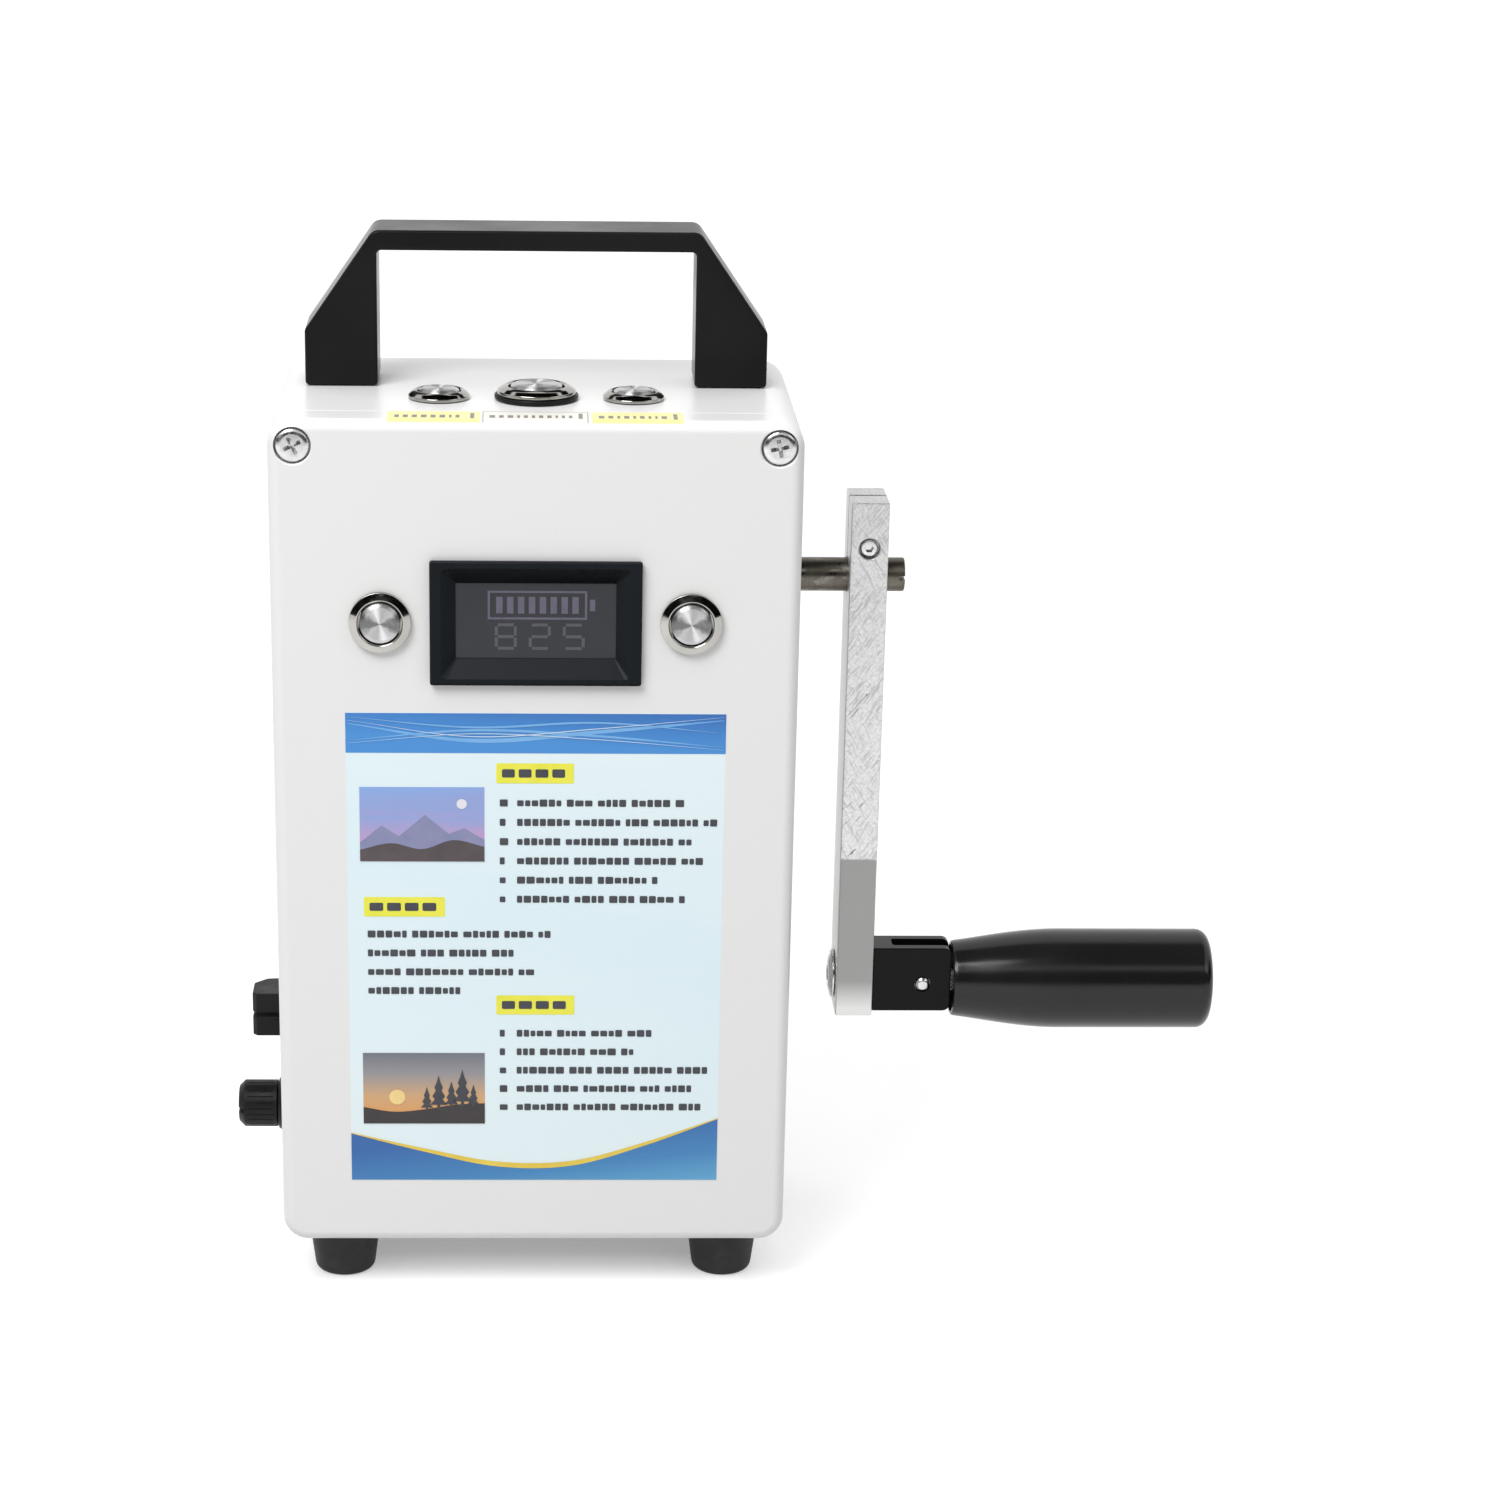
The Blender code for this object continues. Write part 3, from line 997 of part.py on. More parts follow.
def build_grip_spindle():
    """A flat eye on the pin that widens into the round rod inside the grip."""
    angle = asin(SPINDLE_NECK_HALF / SPINDLE_EYE_RADIUS)
    reach = SPINDLE_ROD_X - PIN_X + WALL / 2
    turns = [angle + 2 * (pi - angle) * step / PLUG_STEPS for step in range(PLUG_STEPS + 1)]
    outline = [(SPINDLE_EYE_RADIUS * cos(turn), SPINDLE_EYE_RADIUS * sin(turn)) for turn in turns]
    outline += [(reach, -SPINDLE_NECK_HALF), (reach, SPINDLE_NECK_HALF)]
    spindle = plate("grip_spindle", [outline, circle(PIN_RADIUS + RUNNING, steps=PLUG_STEPS)],
                    SPINDLE_TONGUE_THICK, (PIN_X, 0, PIN_Z), "XZ", "steel")
    join(spindle, rods((SPINDLE_RADIUS, (SPINDLE_ROD_X, 0, PIN_Z), SPINDLE_END_X - SPINDLE_ROD_X, "+X")))
    cut(spindle, rods((TAPPED_HOLE_RADIUS, (SPINDLE_END_X - TAPPED_HOLE_DEPTH, 0, PIN_Z),
                       TAPPED_HOLE_DEPTH + WALL, "+X"), steps=SMALL_STEPS))
    screw_part("grip_screw", GRIP_SCREW_HEAD_RADIUS, GRIP_SCREW_HEAD_HEIGHT, GRIP_SCREW_SHANK,
               GRIP_SCREW_LENGTH, (SPINDLE_END_X + GAP, 0, PIN_Z), "+X", "steel")


def grip_radius(share):
    """Radius along the taper, easing from the small end into the full barrel."""
    ease = sin(share * pi / 2) ** GRIP_TAPER_EASE
    return GRIP_SMALL_RADIUS + (GRIP_LARGE_RADIUS - GRIP_SMALL_RADIUS) * ease


def build_grip():
    outer = [(GRIP_SMALL_RADIUS - GRIP_LIP, GRIP_START_X), (GRIP_SMALL_RADIUS, GRIP_START_X + GRIP_LIP)]
    taper_steps = 6
    for step in range(1, taper_steps + 1):
        share = step / taper_steps
        outer.append((grip_radius(share), GRIP_START_X + share * (GRIP_TAPER_END_X - GRIP_START_X)))
    round_steps = 3
    for step in range(round_steps + 1):
        angle = step * pi / 2 / round_steps
        outer.append((GRIP_LARGE_RADIUS - GRIP_END_ROUND + GRIP_END_ROUND * cos(angle),
                      GRIP_END_X - GRIP_END_ROUND + GRIP_END_ROUND * sin(angle)))
    bore = BUSHING_OUTER + GAP
    inner = [(CAVITY_RADIUS, GRIP_END_X), (CAVITY_RADIUS, CAVITY_X), (bore, CAVITY_X),
             (bore, BORE_FLOOR_X), (GRIP_RIM_RADIUS, BORE_FLOOR_X), (GRIP_RIM_RADIUS, GRIP_START_X)]
    profile = list(reversed(outer)) + list(reversed(inner))
    local = [(radius, x - PIN_X) for radius, x in profile]
    turned("grip", local, (PIN_X, 0, PIN_Z), "+X", "black_gloss", GRIP_STEPS, closed=True)
    flange = CAVITY_X + GAP
    end = BORE_FLOOR_X + 2 * GAP
    bushing = [(BUSHING_INNER, flange + BUSHING_FLANGE_THICK),
               (BUSHING_FLANGE_RADIUS, flange + BUSHING_FLANGE_THICK), (BUSHING_FLANGE_RADIUS, flange),
               (BUSHING_OUTER, flange), (BUSHING_OUTER, end), (BUSHING_INNER, end)]
    turned("grip_bushing", [(radius, x - PIN_X) for radius, x in bushing], (PIN_X, 0, PIN_Z), "+X",
           "brass", closed=True)
    plug_radius = CAVITY_RADIUS - GAP
    plug = [(0, GRIP_END_X), (plug_radius - PLUG_CHAMFER, GRIP_END_X),
            (plug_radius, GRIP_END_X - PLUG_CHAMFER), (plug_radius, GRIP_END_X - PLUG_THICK),
            (0, GRIP_END_X - PLUG_THICK)]
    turned("grip_plug", [(radius, x - PIN_X) for radius, x in plug], (PIN_X, 0, PIN_Z), "+X",
           "black_plastic")


# Gear train

def involute(angle):
    return tan(angle) - angle


def gear_outline(teeth, phase, flank_steps):
    """Teeth with involute flanks, each thinned by the backlash, around the local origin."""
    pitch = MODULE * teeth / 2
    base = pitch * cos(PRESSURE_ANGLE)
    root = pitch - DEDENDUM
    tip = pitch + ADDENDUM
    half_at_pitch = pi / (2 * teeth) - BACKLASH / (2 * pitch)
    flank = []
    for step in range(flank_steps + 1):
        radius = root + (tip - root) * step / flank_steps
        contact = acos(base / radius) if radius > base else 0.0
        flank.append((radius, half_at_pitch + involute(PRESSURE_ANGLE) - involute(contact)))
    points = []
    for tooth in range(teeth):
        middle = phase + 2 * pi * tooth / teeth
        points += [(radius * cos(middle - half), radius * sin(middle - half)) for radius, half in flank]
        points += [(radius * cos(middle + half), radius * sin(middle + half))
                   for radius, half in reversed(flank)]
    return points


def pinion(first_x, width, axis_z):
    """A pinion to join to its shaft, with a gap between two teeth straight up."""
    mesh = outline_mesh("pinion", [gear_outline(PINION_TEETH, pi / PINION_TEETH, 2)], width)
    bm = bmesh.new()
    bm.from_mesh(mesh)
    turn = Euler(IN_PLANE["YZ"]).to_matrix().to_4x4()
    bm.transform(Matrix.Translation((first_x + width / 2, 0, axis_z)) @ turn)
    return bm


def build_gear_train():
    """Crank gear with lightening holes, and the compound wheel with its pinion and arbor."""
    first_width = FIRST_STAGE_X[1] - FIRST_STAGE_X[0]
    second_width = SECOND_STAGE_X[1] - SECOND_STAGE_X[0]
    holes = []
    for step in range(LIGHTENING_HOLES):
        angle = 2 * pi * step / LIGHTENING_HOLES
        centre = (LIGHTENING_RING * cos(angle), LIGHTENING_RING * sin(angle))
        holes.append(circle(LIGHTENING_RADIUS, centre, SMALL_STEPS))
    plate("crank_gear", [gear_outline(CRANK_TEETH, 0, 1), circle(SHAFT_RADIUS + GAP), *holes],
          first_width, (sum(FIRST_STAGE_X) / 2, 0, SHAFT_Z), "YZ", "steel")
    compound = plate("compound_gear", [gear_outline(WHEEL_TEETH, 0, 1)], second_width,
                     (sum(SECOND_STAGE_X) / 2, 0, COMPOUND_Z), "YZ", "brass")
    into_wheel = SECOND_STAGE_X[0] + GAP
    join(compound, pinion(FIRST_STAGE_X[0], into_wheel - FIRST_STAGE_X[0], COMPOUND_Z))
    arbor_start = INNER_PLATE_X[0] + GAP
    join(compound, rods((ARBOR_RADIUS, (arbor_start, 0, COMPOUND_Z), OUTER_PLATE_X[1] - arbor_start, "+X"),
                        steps=SMALL_STEPS))


def build_gearbox():
    """Two plates on four pillars that carry the shaft, the arbor and the generator."""
    width = PLATE_Y[1] - PLATE_Y[0]
    height = PLATE_Z[1] - PLATE_Z[0]
    centre_y = sum(PLATE_Y) / 2
    centre_z = sum(PLATE_Z) / 2
    border = rounded_rectangle(width, height, PLATE_CORNER, 3)
    arbor_hole = circle(ARBOR_RADIUS + RUNNING, (-centre_y, COMPOUND_Z - centre_z), SMALL_STEPS)
    shaft_centre = (-centre_y, SHAFT_Z - centre_z)
    rotor_centre = (-centre_y, ROTOR_Z - centre_z)
    inner_x = sum(INNER_PLATE_X) / 2
    inner = plate("gearbox_frame",
                  [border, circle(SHAFT_JOURNAL + RUNNING, shaft_centre), arbor_hole,
                   circle(ROTOR_SHAFT + 2 * GAP, rotor_centre, SMALL_STEPS)],
                  INNER_PLATE_X[1] - INNER_PLATE_X[0], (inner_x, centre_y, centre_z), "YZ", "aluminium")
    pillar_length = OUTER_PLATE_X[0] - GAP - inner_x
    pillars = [(PILLAR_RADIUS, (inner_x, centre_y + across * (width / 2 - PILLAR_INSET),
                                centre_z + up * (height / 2 - PILLAR_INSET)), pillar_length, "+X")
               for across in (-1, 1) for up in (-1, 1)]
    join(inner, rods(*pillars, steps=SMALL_STEPS))
    plate("gearbox_plate",
          [border, circle(SHAFT_BUSHING_RADIUS + GAP, shaft_centre, ROUND_STEPS), arbor_hole,
           circle(ROTOR_SHAFT + RUNNING, rotor_centre, SMALL_STEPS)],
          OUTER_PLATE_X[1] - OUTER_PLATE_X[0], (sum(OUTER_PLATE_X) / 2, centre_y, centre_z), "YZ",
          "aluminium")


def build_generator():
    """Generator on the gearbox: can, slotted stator and magnet rotor."""
    hole = ROTOR_SHAFT + 2 * GAP
    first, last = GENERATOR_X
    inside = GENERATOR_RADIUS - CAN_THICK
    can = [(hole, last), (GENERATOR_RADIUS, last), (GENERATOR_RADIUS, first), (hole, first),
           (hole, first + CAN_THICK), (inside, first + CAN_THICK), (inside, last - CAN_THICK),
           (hole, last - CAN_THICK)]
    turned("generator_case", can, (0, 0, ROTOR_Z), "+X", "steel", ROUND_STEPS, closed=True)
    half_slot = [(SLOT_HALF_ANGLE, SLOT_RADIUS), (TOOTH_HALF_ANGLE, SLOT_RADIUS),
                 (TOOTH_HALF_ANGLE, POLE_RADIUS + POLE_TIP_THICK), (POLE_HALF_ANGLE, POLE_RADIUS)]
    bore = []
    for pole in range(STATOR_POLES):
        middle = 2 * pi * pole / STATOR_POLES
        corners = [(-angle, radius) for angle, radius in half_slot] + half_slot[:0:-1]
        bore += [(radius * cos(middle + angle), radius * sin(middle + angle)) for angle, radius in corners]
    stator_x = (first + last) / 2
    plate("generator_stator", [circle(inside - GAP, steps=ROUND_STEPS), bore], STATOR_LENGTH,
          (stator_x, 0, ROTOR_Z), "YZ", "laminations")
    drum_x = (stator_x - ROTOR_HALF_LENGTH, stator_x + ROTOR_HALF_LENGTH)
    tail = first - ROTOR_TAIL
    rotor = [(0, OUTER_PLATE_X[1]), (ROTOR_SHAFT, OUTER_PLATE_X[1]), (ROTOR_SHAFT, drum_x[1]),
             (ROTOR_RADIUS, drum_x[1]), (ROTOR_RADIUS, drum_x[0]), (ROTOR_SHAFT, drum_x[0]),
             (ROTOR_SHAFT, tail), (0, tail)]
    shaft = turned("generator_rotor", rotor, (0, 0, ROTOR_Z), "+X", "steel")
    join(shaft, pinion(SECOND_STAGE_X[0], SECOND_STAGE_X[1] - SECOND_STAGE_X[0], ROTOR_Z))


# Power parts

def build_battery_pack():
    """Six round cells, three across and two high, in one shrink sleeve on the floor ribs."""
    low = BOX_BOTTOM + WALL + RIB_HEIGHT + GAP + CELL_RADIUS
    places = [(column * CELL_PITCH, low + row * CELL_PITCH) for row in (0, 1) for column in (-1, 0, 1)]
    first_y, first_z = places[0]
    profile = [(0, CELL_LENGTH), (CELL_RADIUS, CELL_LENGTH), (CELL_RADIUS, 0), (0, 0)]
    pack = turned("battery_pack", profile, (PACK_X, first_y, first_z), "+X", "battery", PLUG_STEPS)
    for y, z in places[1:]:
        join(pack, rods((CELL_RADIUS, (PACK_X, y, z), CELL_LENGTH, "+X"), steps=PLUG_STEPS))


def build_inverter():
    """Board on the rear wall with its transformer, heat sink and capacitors."""
    board_back = BOX_BACK - WALL - POST_LENGTH - GAP
    board_front = board_back - BOARD_THICK
    into_board = board_front + BOARD_THICK / 2
    board = block_part("inverter_board", (BOARD_X[0], board_front, BOARD_Z[0]),
                       (BOARD_X[1], board_back, BOARD_Z[1]), "board")
    sink_x = BOARD_X[0] + 2 * SINK_MARGIN
    fin_back = board_front - 2 * SINK_MARGIN
    fins = [((sink_x + FIN_PITCH * fin, fin_back - FIN_HEIGHT, SINK_Z[0]),
             (sink_x + FIN_PITCH * fin + FIN_THICK, fin_back, SINK_Z[1])) for fin in range(SINK_FINS)]
    join(board, blocks(((sink_x - SINK_MARGIN / 2, board_front - SINK_BASE, SINK_Z[0] - SINK_MARGIN),
                        (sink_x + SINK_FINS * FIN_PITCH, into_board, SINK_Z[1] + SINK_MARGIN))))
    join(board, blocks(*fins))
    join(board, rods(*[(CAPACITOR_RADIUS, (x, board_front - CAPACITOR_HEIGHT, CAPACITOR_Z),
                        into_board - board_front + CAPACITOR_HEIGHT, "+Y") for x in CAPACITOR_X],
                     steps=SMALL_STEPS))
    core_back = board_front - GAP
    core_front = core_back - CORE_THICK
    core = block_part("transformer", (CORE_X[0], core_front, CORE_Z[0]), (CORE_X[1], core_back, CORE_Z[1]),
                      "laminations", rounding=CORE_ROUNDING)
    coil_back = core_back - CORE_ROUNDING
    join(core, blocks(((CORE_X[0] + COIL_MARGIN[0], core_front - COIL_PROUD, CORE_Z[0] + COIL_MARGIN[1]),
                       (CORE_X[1] - COIL_MARGIN[0], coil_back, CORE_Z[1] - COIL_MARGIN[1]))))


def build():
    build_rear_housing()
    build_front_cover()
    build_cover_screws()
    build_feet()
    build_carry_handle()
    build_panel_meter()
    build_buttons()
    build_push_terminal()
    build_fuse_holder()
    build_sockets()
    build_outlet()
    build_crank_shaft()
    build_crank_arm()
    build_hinge_fork()
    build_grip_spindle()
    build_grip()
    build_gear_train()
    build_gearbox()
    build_generator()
    build_battery_pack()
    build_inverter()


build()
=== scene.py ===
"""Looks of the hand crank generator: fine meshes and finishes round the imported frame.

Metres, +Z up. The front panel faces -Y and the crank is on the +X side. Places are read from
the boxes of the frame's nodes. Outlines and turned profiles are lists of points, where a third
value is the radius of that corner.
"""

import random
from math import cos, pi, radians, sin, tan

import bmesh
import bpy
from mathutils import Euler, Matrix, Vector


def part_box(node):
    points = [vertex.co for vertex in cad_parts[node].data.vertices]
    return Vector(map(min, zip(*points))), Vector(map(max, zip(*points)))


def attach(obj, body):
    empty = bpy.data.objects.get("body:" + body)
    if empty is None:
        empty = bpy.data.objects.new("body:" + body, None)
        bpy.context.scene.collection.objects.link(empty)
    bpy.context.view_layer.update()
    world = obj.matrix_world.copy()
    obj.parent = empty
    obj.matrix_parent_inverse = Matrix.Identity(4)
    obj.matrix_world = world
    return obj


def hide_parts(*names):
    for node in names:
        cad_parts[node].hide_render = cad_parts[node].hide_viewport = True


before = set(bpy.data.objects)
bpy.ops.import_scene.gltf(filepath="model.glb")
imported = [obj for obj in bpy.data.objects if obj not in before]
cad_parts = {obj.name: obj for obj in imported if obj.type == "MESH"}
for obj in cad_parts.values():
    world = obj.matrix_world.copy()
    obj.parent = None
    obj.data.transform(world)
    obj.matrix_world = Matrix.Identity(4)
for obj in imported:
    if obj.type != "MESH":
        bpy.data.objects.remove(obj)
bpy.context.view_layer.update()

X, Y, Z = range(3)
SIDES = ("left", "right")


class Box:
    """A node's corners at rest, its middle, and its size along each axis."""

    def __init__(self, node):
        self.node = node
        self.low, self.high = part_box(node)
        self.middle = (self.low + self.high) / 2
        self.size = [self.high[axis] - self.low[axis] for axis in range(3)]

    def at(self, **moved):
        """Its middle, with some of the coordinates x, y and z put elsewhere."""
        return [moved.get(name, value) for name, value in zip("xyz", self.middle)]


REAR, COVER = Box("rear_housing"), Box("front_cover")
COVER_SCREWS = [Box(f"cover_screw_{side}") for side in SIDES]
FEET = [Box(f"foot_{row}_{side}") for row in ("front", "rear") for side in SIDES]
METER, WINDOW = Box("meter_case"), Box("meter_window")
ARM, SHAFT, BUSHING = Box("crank_arm"), Box("crank_shaft"), Box("shaft_bushing")
CLAMP, FORK, FORK_SCREW = Box("clamp_screw"), Box("hinge_fork"), Box("fork_screw")
PIN, GRIP = Box("hinge_pin"), Box("grip")

LEFT_X, RIGHT_X = REAR.low.x, REAR.high.x
MIDDLE_X = (LEFT_X + RIGHT_X) / 2
FRONT_Y, SEAM_Y, BACK_Y = COVER.low.y, REAR.low.y, REAR.high.y
BOTTOM_Z, TOP_Z = REAR.low.z, REAR.high.z
METER_Z = (METER.low.z + METER.high.z) / 2
SHAFT_Z = (BUSHING.low.z + BUSHING.high.z) / 2

# The box
WALL = 0.0025
GAP = 0.0003
CORNER_RADIUS = 0.006
FRONT_EDGE_RADIUS = 0.0028
BACK_EDGE_RADIUS = 0.0033
SEAM_ROUNDING = 0.00025
HEAD_RADIUS = 0.0038
HEAD_HEIGHT = 0.0020
COUNTERBORE_RADIUS = 0.0042
COUNTERBORE_DEPTH = 0.0026
REAR_POST = 0.0038
FRONT_POST = 0.0052
THREADED_SHANK = 0.0018
CLEAR_SHANK = 0.0023
PAST = 0.02
# The holes for what is fitted in the wall
BUTTON_BARREL = 0.0060
LARGE_BARREL = 0.0080
FUSE_HOLE = 0.0060
JACK_HOLE = 0.0040
FOOT_HOLE = 0.0030
HANDLE_SCREW_HOLE = 0.0028
OUTLET_RIM = 0.0030
METER_RIM = 0.0015
# The carry handle
HANDLE_OPENING = 0.0733
HANDLE_BAR = 0.0046
HANDLE_SHOULDER = 0.013
HANDLE_TOP_HALF = 0.0375
HANDLE_ROUNDING = 0.0011
HANDLE_BORE = 0.0025
HANDLE_BORE_DEPTH = 0.0125
PAST_WALL = 0.004
# The meter's window, and the rim of its bezel in X and Z
WINDOW_WIDTH = 0.036
WINDOW_HEIGHT = 0.0172
BEZEL_RIM = (0.0025, 0.0016)
# Buttons: how high the bezel's crest is, and its bore and the cap as shares of its radius
CREST = 0.0018
BORE_SHARE = 0.72
CAP_SHARE = 0.655
BUTTON_TRAVEL = 0.0015
THREAD_PITCH = 0.001
# The crank and its grip
SHAFT_RADIUS = 0.004
FORK_SLOT = 0.0046
FORK_CORNER = 0.0020
SLOT_BACK = 0.0075
FORK_SCREW_HOLE = 0.0025
LINISHED_SHARE = 0.683
GRIP_SMALL = 0.00925
GRIP_TAPER = 0.0267
GRIP_END_ROUND = 0.0030
GRIP_BORE = 0.0053
GRIP_CAVITY = 0.0064
CAVITY_LENGTH = 0.0201
# The printed sheet on the front, its text, and the strips on the top
SHEET_LEFT, SHEET_RIGHT = MIDDLE_X - 0.0434, MIDDLE_X + 0.0436
SHEET_LOW, SHEET_HIGH = 0.0293, 0.1456
HEADER_LOW = SHEET_HIGH - 0.0096
LAYER = 0.00004
INK_DEPTH = 0.00003
TEXT_HEIGHT = 0.0017
TEXT_ROW = 0.0047
PICTURE = (0.0287, 0.0180)
PICTURE_LEFT = SHEET_LEFT + 0.0030
STRIP_BACK = SEAM_Y - GAP - 0.0001
STRIP_BEND = radians(36)
STRIP_BARS = (-0.0338, -0.0312)
STRIP_MARK = (-0.0345, -0.0290)
STRIP_LAYER, STRIP_INK_LAYER = 0.25, 1.25

# Turns that lay local Z along a frame direction
ALONG = {"+X": (0, pi / 2, 0), "-X": (0, -pi / 2, 0), "-Y": (pi / 2, 0, 0),
         "+Y": (-pi / 2, 0, 0), "+Z": (0, 0, 0), "-Z": (pi, 0, 0)}
# How a flat outline's two values and its depth lie in the frame
PLANES = {
    "XZ": lambda u, v, w: (u, w, v),
    "YZ": lambda u, v, w: (w, u, v),
    "XY": lambda u, v, w: (u, v, w),
}
# For each direction out of the box, the inner face of the wall there
INNER_FACES = {"-X": {"x": LEFT_X + WALL}, "+X": {"x": RIGHT_X - WALL},
               "-Y": {"y": FRONT_Y + WALL}, "+Z": {"z": TOP_Z - WALL},
               "-Z": {"z": BOTTOM_Z + WALL}}
NEAR = 1e-6
SHARP_ANGLE = radians(32)
BEVEL_ANGLE = radians(30)


# Mesh tools

def placed(bm, place, direction):
    bm.transform(Matrix.Translation(place) @ Euler(ALONG[direction]).to_matrix().to_4x4())
    return bm


def lathe(profile, place, direction, segments=96):
    """A turned solid from (radius, height) points, its outer side running down."""
    bm = bmesh.new()
    rings = [[bm.verts.new((radius * cos(2 * pi * step / segments),
                            radius * sin(2 * pi * step / segments), height))
              for step in range(segments if radius > NEAR else 1)] for radius, height in profile]
    pairs = list(zip(rings, rings[1:]))
    if len(rings[0]) > 1 and len(rings[-1]) > 1:
        pairs.append((rings[-1], rings[0]))
    for upper, lower in pairs:
        for step in range(segments):
            following = (step + 1) % segments
            corners = []
            for ring in (upper, lower):
                points = [ring[0]] if len(ring) == 1 else [ring[step], ring[following]]
                corners += points if ring is upper else points[::-1]
            if len(corners) > 2:
                bm.faces.new(corners)
    bmesh.ops.recalc_face_normals(bm, faces=bm.faces)
    return placed(bm, place, direction)


def rod(radius, place, direction, above, below=0.0, segments=64):
    """A round bar from one height to another above a place."""
    return lathe([(0, above), (radius, above), (radius, below), (0, below)], place, direction,
                 segments)


def loft(outlines):
    """A closed solid through outlines of equally many points."""
    bm = bmesh.new()
    rings = [[bm.verts.new(point) for point in outline] for outline in outlines]
    bm.faces.new(rings[0])
    bm.faces.new(rings[-1][::-1])
    for upper, lower in zip(rings, rings[1:]):
        for index in range(len(upper)):
            following = (index + 1) % len(upper)
            bm.faces.new((upper[following], upper[index], lower[index], lower[following]))
    bmesh.ops.recalc_face_normals(bm, faces=bm.faces)
    return bm


def prism(outline, plane, first, last):
    """A flat outline drawn through from one depth to another."""
    return loft([[PLANES[plane](u, v, depth) for u, v in outline] for depth in (first, last)])


def rounded(points, steps=5, closed=True):
    """The same outline, with a curve at each corner that has a radius."""
    smooth = []
    for index, point in enumerate(points):
        if len(point) == 2 or not closed and index in (0, len(points) - 1):
            smooth.append(tuple(point[:2]))
            continue
        here = Vector(point[:2])
        before = Vector(points[index - 1][:2]) - here
        after = Vector(points[(index + 1) % len(points)][:2]) - here
        reach = point[2] / tan(before.angle(after) / 2)
        reach = min(reach, before.length * 0.49, after.length * 0.49)
        start = here + before.normalized() * reach
        end = here + after.normalized() * reach
        for share in (step / steps for step in range(steps + 1)):
            smooth.append(tuple(start * (1 - share) ** 2 + here * 2 * share * (1 - share)
                                + end * share ** 2))
    return smooth


def turned(points, place, direction, steps=5, segments=96):
    """A turned solid whose profile starts and ends on its axis."""
    return lathe(rounded(points, steps, closed=False), place, direction, segments)


def circle(radius, centre, steps=32):
    return [(centre[0] + radius * cos(2 * pi * step / steps),
             centre[1] + radius * sin(2 * pi * step / steps)) for step in range(steps)]


def rectangle(low_u, low_v, high_u, high_v, radius=0.0, steps=3):
    corners = [(low_u, low_v), (high_u, low_v), (high_u, high_v), (low_u, high_v)]
    return rounded([(*corner, radius) for corner in corners], steps) if radius else corners


def block(low, high):
    """A box between two opposite corners."""
    size = [abs(high[axis] - low[axis]) for axis in range(3)]
    middle = [(high[axis] + low[axis]) / 2 for axis in range(3)]
    bm = bmesh.new()
    bmesh.ops.create_cube(bm, size=1,
                          matrix=Matrix.Translation(middle) @ Matrix.Diagonal((*size, 1)))
    return bm


def lies_at(axis, *places):
    """A test for edges that lie in one of the planes across an axis."""
    return lambda edge: any(all(abs(vert.co[axis] - place) < NEAR for vert in edge.verts)
                            for place in places)


def runs_along(axis):
    """A test for edges that run some way along an axis."""
    return lambda edge: abs(edge.verts[0].co[axis] - edge.verts[1].co[axis]) > WALL


def bevel(bm, radius, segments, *tests):
    """Rounds the sharp edges that pass every test."""
    edges = [edge for edge in bm.edges
             if edge.is_manifold and edge.calc_face_angle(0) > BEVEL_ANGLE
             and all(test(edge) for test in tests)]
    bmesh.ops.bevel(bm, geom=edges, offset=radius, segments=segments, profile=0.5,
                    affect="EDGES", clamp_overlap=True)
    return bm


def soft_block(low, high, radius, segments):
    return bevel(block(low, high), radius, segments)


def in_scene(name, bm):
    """The mesh as an object."""
    mesh = bpy.data.meshes.new(name)
    bm.to_mesh(mesh)
    bm.free()
    obj = bpy.data.objects.new(name, mesh)
    bpy.context.scene.collection.objects.link(obj)
    return obj


def merged(parts):
    """Several meshes as one, not joined to each other."""
    result = bmesh.new()
    for part in parts:
        mesh = bpy.data.meshes.new("part")
        part.to_mesh(mesh)
        part.free()
        result.from_mesh(mesh)
        bpy.data.meshes.remove(mesh)
    return result


def combined(base, other, operation):
    """The first mesh, cut or joined by the second with an exact Boolean."""
    made = [in_scene("base", base), in_scene("tool", other)]
    modifier = made[0].modifiers.new("combine", "BOOLEAN")
    modifier.operation = operation
    modifier.object = made[1]
    bpy.context.view_layer.update()
    result = bmesh.new()
    result.from_object(made[0], bpy.context.evaluated_depsgraph_get())
    for obj in made:
        mesh = obj.data
        bpy.data.objects.remove(obj)
        bpy.data.meshes.remove(mesh)
    return result


def cut(base, *cutters):
    return combined(base, merged(cutters), "DIFFERENCE")


def joined(base, *others):
    for other in others:
        base = combined(base, other, "UNION")
    return base


def piece(name, bm, finish, node=None, body="housing"):
    """A finished object that moves with a body and may stand for a CAD node."""
    obj = in_scene(name, bm)
    obj.data.shade_smooth()
    obj.data.set_sharp_from_angle(angle=SHARP_ANGLE)
    obj.data.materials.append(finish)
    obj.modifiers.new("flat faces stay flat", "WEIGHTED_NORMAL").keep_sharp = True
    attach(obj, body)
    if node:
        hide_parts(node)


# Finishes

def add_node(tree, kind, inputs, **settings):
    """A shader node with its settings, and with values or links in its sockets."""
    node = tree.nodes.new("ShaderNode" + kind)
    for name, value in settings.items():
        setattr(node, name, value)
    for socket, source in inputs.items():
        wire(tree, source, node.inputs[socket])
    return node


def wire(tree, source, target):
    if isinstance(source, (int, float)):
        target.default_value = source
    elif isinstance(source, tuple):
        target.default_value = (*source, 1) if target.type == "RGBA" else source
    else:
        tree.links.new(source, target)


def grey(tone):
    return (tone, tone, tone)


